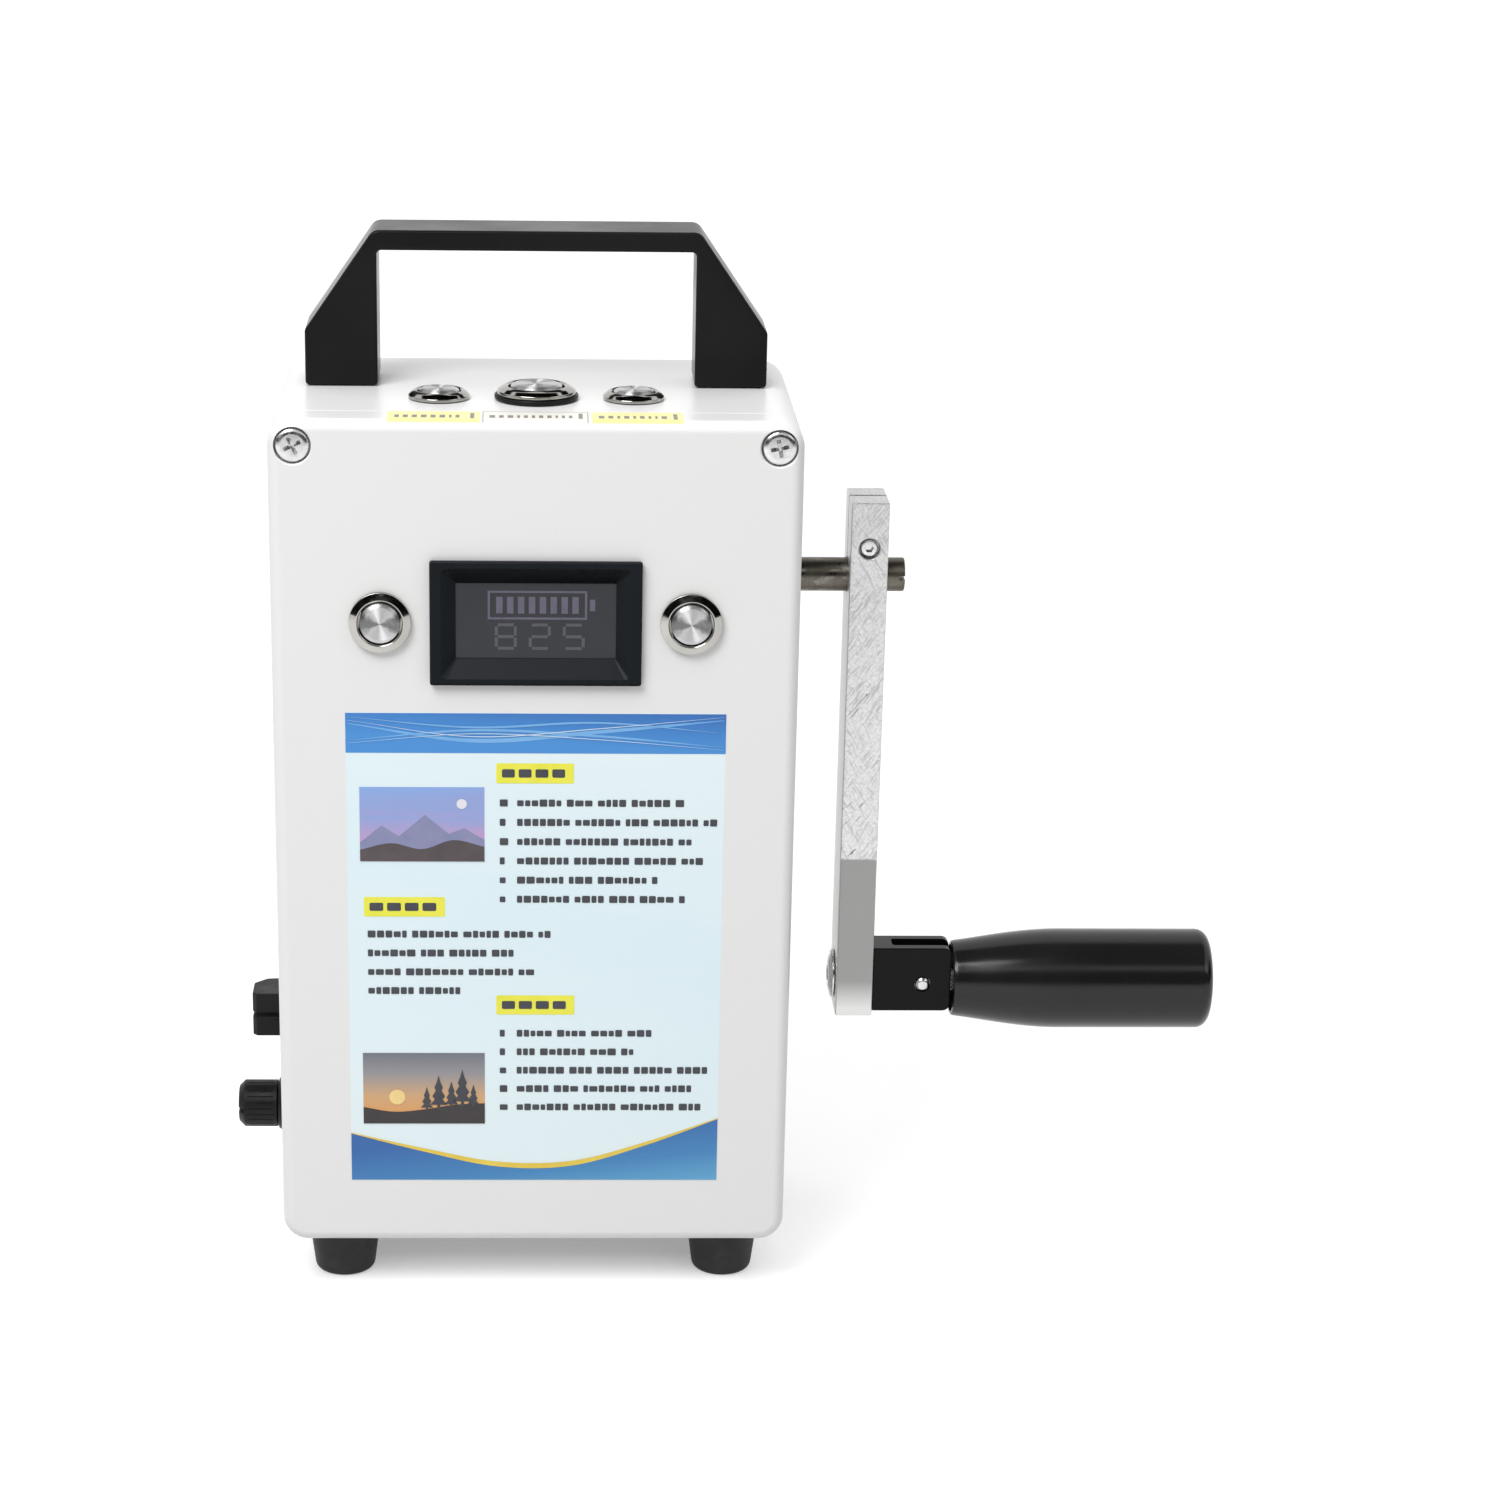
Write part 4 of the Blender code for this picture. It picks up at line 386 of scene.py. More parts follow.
class Finish:
    """A Principled material, with short cuts for the nodes that vary it over the surface."""

    def __init__(self, name, colour, roughness, metallic=0.0, specular=0.5, coat=None,
                 coordinates="Object"):
        self.material = bpy.data.materials.new(name)
        self.material.use_nodes = True
        self.tree = self.material.node_tree
        self.normal = None
        for socket, value in (("Base Color", colour), ("Roughness", roughness),
                              ("Metallic", metallic), ("Specular IOR Level", specular)):
            self.feed(socket, value)
        if coat:
            self.feed("Coat Weight", coat[0])
            self.feed("Coat Roughness", coat[1])
        self.place = self.node("TexCoord", {}).outputs[coordinates]

    def node(self, kind, inputs, **settings):
        return add_node(self.tree, kind, inputs, **settings)

    def feed(self, socket, source):
        wire(self.tree, source, self.tree.nodes["Principled BSDF"].inputs[socket])

    def colour(self, source):
        self.feed("Base Color", source)

    def gloss(self, source, low, high, smooth, dull):
        """Roughness from smooth to dull as the source goes from low to high."""
        self.feed("Roughness", self.span(source, low, high, smooth, dull))

    def relief(self, height, distance, strength):
        inputs = {"Strength": strength, "Distance": distance, "Height": height}
        if self.normal:
            inputs["Normal"] = self.normal
        self.normal = self.node("Bump", inputs).outputs["Normal"]
        self.feed("Normal", self.normal)

    def mapped(self, stretch=(1, 1, 1), turn=(0, 0, 0), shift=(0, 0, 0), source=None):
        return self.node("Mapping", {"Vector": source or self.place, "Location": shift,
                                     "Rotation": turn, "Scale": stretch}).outputs["Vector"]

    def noise(self, scale, detail, source=None, distortion=0.0):
        return self.node("TexNoise", {"Vector": source or self.place, "Scale": scale,
                                      "Detail": detail, "Distortion": distortion}).outputs["Fac"]

    def span(self, source, low, high, out_low=0.0, out_high=1.0):
        """The source's range from low to high, laid on another range and kept inside it."""
        return self.node("MapRange", {"Value": source, "From Min": low, "From Max": high,
                                      "To Min": out_low, "To Max": out_high}).outputs["Result"]

    def math(self, operation, first, second=0.0):
        return self.node("Math", {0: first, 1: second}, operation=operation).outputs[0]

    def mix(self, share, first, second):
        return self.node("Mix", {0: share, 6: first, 7: second}, data_type="RGBA").outputs[2]

    def ramp(self, source, stops):
        """Colours laid along the source from 0 to 1."""
        node = self.node("ValToRGB", {0: source})
        elements = node.color_ramp.elements
        while len(elements) < len(stops):
            elements.new(0.5)
        for element, (place, colour) in zip(elements, stops):
            element.position = place
            element.color = (*colour, 1)
        return node.outputs["Color"]

    def axis(self, name, source=None):
        return self.node("SeparateXYZ", {0: source or self.place}).outputs[name]

    def facing(self, name):
        """How far the surface faces along an axis of the object."""
        return self.axis(name, self.node("TexCoord", {}).outputs["Normal"])

    def slanted(self, scale, angle, length, distortion=0.3):
        """Noise drawn out into strokes that lean by an angle from the X axis."""
        stretched = self.mapped((1 / length, 1, 1), source=self.mapped(turn=(0, angle, 0)))
        return self.noise(scale, 2, stretched, distortion)


def patchy(name, colour, roughness, first, second, scale, gloss, relief, low=0.3, **kind):
    """Two near tones in soft patches, an uneven gloss and a fine relief.

    Gloss and relief each start with the scale and detail of their noise. Then come the
    smoothest and dullest roughness, or the depth and strength of the relief.
    """
    finish = Finish(name, colour, roughness, **kind)
    finish.colour(finish.mix(finish.span(finish.noise(scale, 3), 0.3, 0.7), first, second))
    finish.gloss(finish.noise(*gloss[:2]), low, 0.7, *gloss[2:])
    finish.relief(finish.noise(*relief[:2]), *relief[2:])
    return finish.material


def black_gloss(name, tone, specular, smoothest):
    """Black moulded plastic with a polished skin, dulled a little where hands touch it."""
    first, second = ((tone * share, tone * share, tone * (share + 0.05))
                     for share in (0.85, 1.25))
    return patchy(name, (tone, tone, tone * 1.05), smoothest, first, second, 30,
                  (45, 5, smoothest, smoothest + 0.12), (900, 2, 0.000008, 0.4), low=0.35,
                  specular=specular)


def printed(name, first, second, scale=200):
    """Ink or film on a label: its colour shifts slightly, under a satin film."""
    return patchy(name, first, 0.35, first, second, scale, (500, 3, 0.30, 0.43),
                  (1800, 2, 0.000004, 0.3), coat=(0.2, 0.2))


def printed_fade(name, stops, low, high, tilt=0.0, streak=0.0):
    """A print that fades through several colours with height, with soft streaks across it."""
    finish = Finish(name, stops[0][1], 0.34, coat=(0.2, 0.2))
    along = finish.axis("Z")
    if tilt:
        along = finish.math("ADD", along, finish.math("MULTIPLY", finish.axis("X"), tilt))
    if streak:
        bands = finish.math("SUBTRACT", finish.noise(30, 3, finish.mapped((1, 1, 6))), 0.5)
        along = finish.math("ADD", along, finish.math("MULTIPLY", bands, streak))
    finish.colour(finish.ramp(finish.span(along, low, high), stops))
    finish.gloss(finish.noise(500, 3), 0.3, 0.7, 0.3, 0.42)
    finish.relief(finish.noise(1800, 2), 0.000004, 0.3)
    return finish.material


def white_plastic():
    """Glossy moulded ABS: broad flow marks and a trace of orange peel.

    Its roughness stays above 0.275, where Cycles' denoiser would draw a contour.
    """
    finish = Finish("white_abs", (0.86, 0.86, 0.85), 0.30, specular=0.42, coat=(0.08, 0.05))
    finish.colour(finish.mix(finish.noise(6, 1), (0.862, 0.862, 0.857), (0.848, 0.849, 0.846)))
    finish.gloss(finish.noise(8, 1), 0.1, 0.9, 0.28, 0.33)
    finish.relief(finish.noise(500, 1), 0.000006, 0.3)
    return finish.material


def meter_plastic():
    """The meter's slate-black bezel, painted lighter where it faces up and darker where it faces
    down: painted light and shade.
    """
    finish = Finish("meter_plastic", (0.010, 0.013, 0.016), 0.3, specular=0.07)
    # Painted light and shade: near black on faces that look down, a lighter slate on faces that
    # look up
    up = finish.span(finish.facing("Z"), -0.35, 0.45)
    patches = finish.span(finish.noise(60, 3), 0.3, 0.7, -0.06, 0.06)
    finish.colour(finish.ramp(finish.math("ADD", up, patches),
                              [(0.0, (0.0010, 0.0015, 0.0022)), (0.45, (0.0095, 0.0125, 0.0155)),
                               (1.0, (0.0175, 0.0195, 0.0235))]))
    finish.gloss(finish.noise(120, 4), 0.3, 0.7, 0.24, 0.36)
    finish.relief(finish.noise(2400, 2), 0.000012, 0.4)
    return finish.material


def rubber():
    """Dark rubber, with pale dust on it."""
    finish = Finish("rubber", (0.028, 0.028, 0.029), 0.62, specular=0.2)
    dust = finish.span(finish.noise(220, 5), 0.45, 0.75)
    finish.colour(finish.mix(dust, (0.029, 0.029, 0.030), (0.050, 0.048, 0.047)))
    finish.gloss(dust, 0, 1, 0.5, 0.72)
    finish.relief(finish.noise(1400, 3), 0.00003, 0.5)
    return finish.material


def spun_steel(name, axis, painted_dark_sectors):
    """Lathe-turned face: fine rings and a highlight that fans out; where asked, dark grey wedges at
    the left and right of the axis, a painted reflection.
    """
    finish = Finish(name, (0.78, 0.78, 0.79), 0.44, 1.0, coordinates="Generated")
    finish.feed("Anisotropic", 0.94)
    finish.feed("Anisotropic Rotation", 0.25)
    tangent = finish.node("Tangent", {}, direction_type="RADIAL", axis=axis)
    finish.feed("Tangent", tangent.outputs["Tangent"])
    centred = finish.mapped(shift=(-0.5, -0.5, -0.5))
    rings = finish.node("TexWave", {"Vector": centred, "Scale": 14, "Distortion": 1.2, "Detail": 3},
                        wave_type="RINGS", rings_direction=axis).outputs["Fac"]
    skin = finish.mix(finish.noise(14, 4), (0.58, 0.58, 0.585), (0.72, 0.72, 0.725))
    # Painted reflection: the spun face's dark fan is painted into the colour, as grey wedges to the
    # left and right of the axis
    if painted_dark_sectors:
        across, up = finish.axis("X", centred), finish.axis("Z", centred)
        wide, high = finish.math("MULTIPLY", across, across), finish.math("MULTIPLY", up, up)
        upright = finish.math("DIVIDE", high, finish.math("ADD", wide, high))
        uneven = finish.span(finish.noise(7, 2), 0.3, 0.7, -0.1, 0.1)
        share = finish.span(finish.math("ADD", upright, uneven), 0.06, 0.42)
        skin = finish.mix(share, grey(0.20), skin)
    finish.colour(skin)
    finish.gloss(rings, 0, 1, 0.38, 0.48)
    finish.relief(rings, 0.000012, 0.35)
    return finish.material


def worn_steel():
    """Turned shaft: an oily brown-grey skin, rubbed bright in patches and lightly ringed."""
    finish = Finish("worn_steel", (0.25, 0.23, 0.19), 0.3, 1.0)
    rubbed = finish.span(finish.noise(260, 5, finish.mapped((0.6, 1, 1)), 0.8), 0.52, 0.64)
    rings = finish.noise(1600, 2, finish.mapped((1, 0.04, 0.04)))
    skin = finish.mix(rings, (0.10, 0.092, 0.075), (0.18, 0.165, 0.135))
    finish.colour(finish.mix(rubbed, skin, (0.20, 0.188, 0.165)))
    finish.gloss(rubbed, 0, 1, 0.38, 0.24)
    finish.relief(rings, 0.00001, 0.5)
    return finish.material


def linished_aluminium(painted_shade_below, end):
    """Flat bar: linished with short slanted strokes in front, brushed along its sides.

    Below a height the front has no strokes and is painted a much darker grey, a painted shade,
    turning lighter again over the last few millimetres at its end.
    """
    finish = Finish("linished_aluminium", grey(0.8), 0.4, 1.0)
    region = finish.span(finish.noise(70, 2), 0.36, 0.52)
    rising = finish.span(finish.slanted(2300, 0.98, 7), 0.5, 0.62)
    falling = finish.span(finish.slanted(2100, -1.05, 7), 0.52, 0.64)
    elsewhere = finish.math("SUBTRACT", 1.0, region)
    strokes = finish.math("ADD", finish.math("MULTIPLY", rising, region),
                          finish.math("MULTIPLY", falling, elsewhere))
    gouges = finish.span(finish.slanted(1300, 0.86, 12, 0.8), 0.69, 0.73)
    sparkle = finish.span(finish.noise(1500, 3), 0.42, 0.62)
    height = finish.axis("Z")
    ragged = finish.math("ADD", height, finish.math("MULTIPLY", finish.noise(300, 2), 0.0008))
    linished = finish.span(ragged, painted_shade_below, painted_shade_below + 0.0005)
    bright = finish.mix(sparkle, grey(0.67), grey(0.79))
    bright = finish.mix(finish.math("MULTIPLY", strokes, 0.7), bright, grey(0.42))
    bright = finish.mix(finish.math("MULTIPLY", gouges, 0.85), bright, grey(0.16))
    # Painted shade: the unstroked lower front is painted dark grey, and lighter again near the
    # bar's end
    plain_painted_shade = finish.mix(finish.noise(40, 4), (0.25, 0.25, 0.246), (0.30, 0.30, 0.293))
    plain_painted_shade = finish.mix(finish.span(height, end + 0.002, end + 0.009), (0.62, 0.62, 0.61), plain_painted_shade)
    front = finish.mix(linished, plain_painted_shade, bright)
    across = finish.facing("X")
    side = finish.span(finish.math("ABSOLUTE", across), 0.3, 0.8)
    brushed = finish.noise(1500, 3, finish.mapped((1, 1, 0.03)))
    inner = finish.mix(brushed, grey(0.93), grey(0.99))
    outer = finish.mix(brushed, grey(0.50), grey(0.70))
    flank = finish.mix(finish.span(across, -0.5, 0.5), inner, outer)
    finish.colour(finish.mix(side, front, flank))
    finish.gloss(finish.math("MAXIMUM", linished, side), 0, 1, 0.3, 0.44)
    finish.relief(finish.math("MULTIPLY", brushed, side), 0.00001, 0.4)
    marks = finish.math("ADD", strokes, finish.math("MULTIPLY", gouges, 1.6))
    marks = finish.math("MULTIPLY", marks, finish.math("SUBTRACT", 1.0, side))
    finish.relief(finish.math("MULTIPLY", marks, linished), 0.00003, -0.6)
    return finish.material


def grained(name, colour, roughness, pattern, stretch, tones, gloss, relief, sharp=None, **kind):
    """One stretched noise that carries the colour, the gloss and the relief."""
    finish = Finish(name, colour, roughness, **kind)
    grain = finish.noise(*pattern, finish.mapped(stretch))
    shares = finish.span(grain, *sharp) if sharp else grain
    finish.colour(finish.mix(shares, *tones))
    finish.gloss(grain, 0.3, 0.7, *gloss)
    finish.relief(grain, *relief)
    return finish.material


def circuit_board():
    """Green solder mask over faint tracks."""
    finish = Finish("solder_mask", (0.04, 0.2, 0.09), 0.35, coat=(0.4, 0.2))
    tracks = finish.span(finish.noise(350, 0, finish.mapped((1, 1, 0.2))), 0.48, 0.52)
    finish.colour(finish.mix(tracks, (0.03, 0.15, 0.07), (0.06, 0.25, 0.11)))
    finish.gloss(finish.noise(800, 2), 0.3, 0.7, 0.28, 0.45)
    finish.relief(tracks, 0.00003, 0.5)
    return finish.material


WHITE = white_plastic()
HANDLE_BLACK = black_gloss("handle_black", 0.0118, 0.08, 0.2)
FORK_BLACK = black_gloss("fork_black", 0.0045, 0.12, 0.10)
GRIP_BLACK = black_gloss("grip_black", 0.0095, 0.36, 0.15)
MOULDED = patchy("black_moulded", (0.009, 0.009, 0.0095), 0.4, (0.007, 0.007, 0.0075),
                 (0.011, 0.011, 0.0115), 80, (200, 4, 0.34, 0.5), (3200, 3, 0.00002, 0.5),
                 specular=0.18)
SLATE = meter_plastic()
RUBBER = rubber()
CHROME = patchy("nickel_plate", (0.42, 0.41, 0.385), 0.08, (0.45, 0.44, 0.415),
                (0.38, 0.37, 0.345), 160, (500, 4, 0.05, 0.13), (900, 2, 0.000006, 0.4),
                metallic=1.0)
# The front caps carry painted reflection: dark wedges at their sides
SPUN_FRONT = spun_steel("spun_steel_front", "Y", painted_dark_sectors=True)
SPUN_TOP = spun_steel("spun_steel_top", "Z", painted_dark_sectors=False)
STEEL = patchy("bright_steel", grey(0.66), 0.24, grey(0.70), grey(0.58), 300,
               (700, 4, 0.16, 0.34), (1800, 2, 0.00001, 0.4), metallic=1.0)
WORN = worn_steel()
ALUMINIUM = linished_aluminium(ARM.high.z - LINISHED_SHARE * ARM.size[Z], ARM.low.z)
BRASS = patchy("turned_brass", (0.70, 0.52, 0.24), 0.28, (0.72, 0.54, 0.26), (0.60, 0.43, 0.19),
               200, (400, 4, 0.2, 0.36), (1500, 2, 0.00001, 0.4), metallic=1.0)
MILL = grained("mill_finish", grey(0.6), 0.4, (300, 3), (1, 12, 1),
               ((0.54, 0.54, 0.55), grey(0.68)), (0.3, 0.46), (0.00001, 0.4), metallic=1.0)
STACK = grained("laminations", (0.3, 0.28, 0.26), 0.5, (900, 1), (3, 0.02, 0.02),
                ((0.20, 0.18, 0.17), (0.36, 0.34, 0.32)), (0.4, 0.6), (0.00005, 0.5),
                sharp=(0.4, 0.6), metallic=1.0)
BOARD = circuit_board()
SLEEVE = patchy("shrink_sleeve", (0.06, 0.18, 0.46), 0.3, (0.05, 0.16, 0.42), (0.08, 0.22, 0.52),
                60, (200, 4, 0.22, 0.4), (160, 3, 0.00012, 0.4), coat=(0.5, 0.15))
INK = printed("print_ink", (0.022, 0.024, 0.034), (0.036, 0.039, 0.052), 300)
PANE = patchy("display_pane", (0.021, 0.023, 0.029), 0.14, (0.022, 0.024, 0.030),
              (0.027, 0.029, 0.035), 70, (300, 3, 0.12, 0.2), (1500, 2, 0.000004, 0.3),
              specular=0.32)


# Housing

def tray(open_y, closed_y, closed_rounding):
    """Half of the box: an outer rounded block less the room inside it."""
    wall = WALL if closed_y > open_y else -WALL
    outer = block((LEFT_X, open_y, BOTTOM_Z), (RIGHT_X, closed_y, TOP_Z))
    bevel(outer, CORNER_RADIUS, 12, runs_along(Y))
    bevel(outer, closed_rounding, 8, lies_at(Y, closed_y))
    bevel(outer, SEAM_ROUNDING, 2, lies_at(Y, open_y))
    inner = block((LEFT_X + WALL, open_y - wall, BOTTOM_Z + WALL),
                  (RIGHT_X - WALL, closed_y - wall, TOP_Z - WALL))
    return cut(outer, bevel(inner, CORNER_RADIUS - WALL, 8, runs_along(Y)))


def hole(node, radius, direction):
    """A round cutter through the wall, where a fitting sits."""
    return rod(radius, Box(node).at(**INNER_FACES[direction]), direction, 3 * WALL, -3 * WALL)


def at_screws(radius, y, direction, above, below=0.0, segments=64):
    """A rod at each cover screw."""
    return [rod(radius, screw.at(y=y), direction, above, below, segments)
            for screw in COVER_SCREWS]


def build_housing():
    rear = tray(SEAM_Y, BACK_Y, BACK_EDGE_RADIUS)
    rear = joined(rear, *at_screws(REAR_POST, BACK_Y - WALL / 2, "+Y", 0,
                                   SEAM_Y + GAP - BACK_Y + WALL / 2, 48))
    cutters = [hole(f"top_{side}_button_body", barrel + GAP, "+Z")
               for side, barrel in (("left", BUTTON_BARREL), ("middle", LARGE_BARREL),
                                    ("right", BUTTON_BARREL))]
    cutters += [hole("shaft_bushing", max(BUSHING.size[Y:]) / 2 + GAP, "+X"),
                hole("fuse_holder_body", FUSE_HOLE, "-X"), hole("charging_jack", JACK_HOLE, "-X")]
    for fitting in (Box("usb_socket"), Box("terminal_body")):
        low, high = fitting.low, fitting.high
        cutters.append(block((LEFT_X - WALL, low.y - GAP, low.z - GAP),
                             (LEFT_X + 2 * WALL, high.y + GAP, high.z + GAP)))
    outlet = Box("ac_outlet")
    rim = OUTLET_RIM - GAP
    cutters.append(block((outlet.low.x + rim, BACK_Y - 2 * WALL, outlet.low.z + rim),
                         (outlet.high.x - rim, BACK_Y + WALL, outlet.high.z - rim)))
    cutters += [hole(foot.node, FOOT_HOLE, "-Z") for foot in FEET]
    cutters += [hole(f"handle_screw_{side}", HANDLE_SCREW_HOLE, "+Z") for side in SIDES]
    cutters += at_screws(THREADED_SHANK, SEAM_Y, "-Y", PAST, -PAST, 32)
    piece("rear_housing_shell", cut(rear, *cutters), WHITE, "rear_housing")


def build_cover():
    cover = tray(SEAM_Y - GAP, FRONT_Y, FRONT_EDGE_RADIUS)
    cover = joined(cover, *at_screws(FRONT_POST, FRONT_Y + WALL / 2, "+Y",
                                     SEAM_Y - FRONT_Y - WALL))
    mouth = 0.0003
    outside = 0.001
    bore = [(0, outside), (COUNTERBORE_RADIUS + outside + mouth, outside),
            (COUNTERBORE_RADIUS + mouth, 0), (COUNTERBORE_RADIUS, -mouth),
            (COUNTERBORE_RADIUS, -COUNTERBORE_DEPTH), (0, -COUNTERBORE_DEPTH)]
    cutters = [lathe(bore, screw.at(y=FRONT_Y), "-Y") for screw in COVER_SCREWS]
    rim = METER_RIM - GAP
    cutters.append(block((METER.low.x + rim, FRONT_Y - WALL, METER.low.z + rim),
                         (METER.high.x - rim, FRONT_Y + 2 * WALL, METER.high.z - rim)))
    cutters += [hole(f"front_{side}_button_body", BUTTON_BARREL + GAP, "-Y") for side in SIDES]
    cover = cut(cover, *cutters)
    shanks = at_screws(CLEAR_SHANK, FRONT_Y, "-Y", PAST, -PAST, 32)
    piece("front_cover_shell", cut(cover, *shanks), WHITE, "front_cover")


def cross_recess(place, turned_by, radius=0.0021, width=0.0009, depth=0.0015):
    """A tapered four-armed driver recess."""
    rings = []
    for reach, half, height in ((radius * 1.15, width * 0.55, depth * 0.25),
                                (radius, width / 2, 0), (radius * 0.42, width * 0.3, -depth)):
        rings.append([])
        for arm in range(4):
            angle = turned_by + arm * pi / 2
            rings[-1] += [(along * cos(angle) - across * sin(angle),
                           along * sin(angle) + across * cos(angle), height)
                          for along, across in ((half, -half), (reach, -half), (reach, half))]
    return placed(loft(rings), place, "-Y")


def build_cover_screws():
    for side, screw, turned_by in zip(SIDES, COVER_SCREWS, (0.45, 0.2)):
        length = screw.size[Y]
        at = screw.at(y=screw.low.y)
        head = turned([(0, 0), (HEAD_RADIUS * 0.78, -0.00004, 0.002),
                       (HEAD_RADIUS, -0.00045, 0.0005), (HEAD_RADIUS, -HEAD_HEIGHT, 0.0001),
                       (0.0015, -HEAD_HEIGHT), (0.0015, -length + 0.001), (0.0006, -length),
                       (0, -length)], at, "-Y")
        piece(f"pan_head_{side}", cut(head, cross_recess(at, turned_by)), STEEL,
              screw.node)


def build_feet():
    stem = 0.0027
    barb_radius = 0.0035
    bore = 0.0030
    seat = BOTTOM_Z - GAP
    barb = BOTTOM_Z + WALL + GAP
    for foot in FEET:
        top_radius = foot.size[X] / 2
        profile = [(0, foot.high.z), (0.0020, foot.high.z, 0.0006),
                   (barb_radius, barb + 0.0008, 0.0003), (barb_radius, barb), (stem, barb),
                   (stem, seat), (top_radius, seat, 0.0005), (top_radius - 0.00165, 0, 0.0019),
                   (bore, 0), (bore, 0.0009, 0.0003), (0, 0.0009)]
        piece(f"rubber_{foot.node}", turned(profile, foot.at(z=0), "+Z", 8), RUBBER,
              foot.node)


def build_handle():
    handle = Box("carry_handle")
    low, high = handle.low, handle.high
    half = handle.size[X] / 2
    leg = HANDLE_OPENING / 2
    under = high.z - HANDLE_BAR
    right = [(leg, low.z, 0.0009), (half, low.z, 0.0009), (half, TOP_Z + HANDLE_SHOULDER, 0.002),
             (HANDLE_TOP_HALF, high.z, 0.003)]
    outline = [(-leg, under, 0.0012), (leg, under, 0.0012)] + right
    outline += [(-x, z, *rest) for x, z, *rest in reversed(right)]
    bm = prism([(MIDDLE_X + x, z) for x, z in rounded(outline, 6)], "XZ", low.y, high.y)
    bevel(bm, HANDLE_ROUNDING, 6, lies_at(Y, low.y, high.y))
    bores = [rod(HANDLE_BORE, Box(f"handle_screw_{side}").at(z=TOP_Z), "+Z", HANDLE_BORE_DEPTH,
                 -PAST_WALL, 48) for side in SIDES]
    piece("bridge_handle", cut(bm, *bores), HANDLE_BLACK, "carry_handle")


# Panel meter

def build_meter():
    seat = FRONT_Y - GAP
    face = soft_block(METER.low, (METER.high.x, seat, METER.high.z), 0.0006, 5)
    body = block((METER.low.x + METER_RIM, seat - 0.0005, METER.low.z + METER_RIM),
                 (METER.high.x - METER_RIM, METER.high.y, METER.high.z - METER_RIM))
    room = block([value - GAP for value in WINDOW.low],
                 (WINDOW.high.x + GAP, METER.high.y - WALL, WINDOW.high.z + GAP))
    # The bezel's tapering recess is rounder at its mouth than at the window
    mouth = (METER.size[X] / 2 - BEZEL_RIM[0], METER.size[Z] / 2 - BEZEL_RIM[1], 0.0016)
    throat = (WINDOW_WIDTH / 2, WINDOW_HEIGHT / 2, 0.0003)
    flare = loft([[(MIDDLE_X + x, y, METER_Z + z)
                   for x, z in rectangle(-half_x, -half_z, half_x, half_z, radius, 5)]
                  for (half_x, half_z, radius), y in ((mouth, METER.low.y - 0.001),
                                                      (mouth, METER.low.y),
                                                      (throat, WINDOW.low.y - GAP / 2))])
    case = cut(cut(joined(face, body), room), flare)
    piece("meter_bezel", case, SLATE, METER.node)
    piece("meter_pane", soft_block(WINDOW.low, WINDOW.high, 0.0002, 3), PANE,
          WINDOW.node)


def seven_segment(digit, x, z, width=0.0050, height=0.0062, stroke=0.0007):
    """The lit bars of one numeral as rectangles."""
    lit = {"2": "abged", "5": "afgcd", "8": "abcdefg"}[digit]
    middle = z + height / 2
    inner_left, inner_right = x + stroke, x + width - stroke
    right, top = x + width, z + height
    bars = {
        "a": (inner_left, top - stroke, inner_right, top),
        "b": (inner_right, middle + stroke / 3, right, top - stroke),
        "c": (inner_right, z + stroke, right, middle - stroke / 3),
        "d": (inner_left, z, inner_right, z + stroke),
        "e": (x, z + stroke, inner_left, middle - stroke / 3),
        "f": (x, middle + stroke / 3, inner_left, top - stroke),
        "g": (inner_left, middle - stroke / 2, inner_right, middle + stroke / 2),
    }
    return [bars[name] for name in lit]


def build_display():
    """Battery outline with eight bars and a tip, and three faint numerals under it."""
    left, right = -0.0109, 0.0116
    low, high = 0.0003, 0.0070
    line = 0.0005
    room = 0.0014
    bars = 8
    pitch = (right - left - 2 * room) / bars
    battery = [(left, high - line, right, high), (left, low, right, low + line),
               (left, low + line, left + line, high - line),
               (right - line, low + line, right, high - line)]
    battery += [(left + room + bar * pitch + line, low + room,
                 left + room + (bar + 1) * pitch - line, high - room) for bar in range(bars)]
    battery.append((right + 0.0006, low + 0.0020, right + 0.0018, high - 0.0020))
    numerals = []
    for index, digit in enumerate("825"):
        numerals += seven_segment(digit, -0.0093 + index * 0.0077, -0.0068)
    for name, boxes, finish in (
            ("battery", battery,
             printed("display_lilac", (0.120, 0.110, 0.165), (0.095, 0.088, 0.135), 300)),
            ("numerals", numerals,
             printed("display_faint", (0.074, 0.073, 0.094), (0.060, 0.059, 0.076), 300))):
        plates = [prism([(MIDDLE_X + x, METER_Z + z) for x, z in rectangle(*corners)], "XZ",
                        WINDOW.low.y - LAYER, WINDOW.low.y + LAYER) for corners in boxes]
        piece(f"display_{name}", merged(plates), finish)


# Push buttons

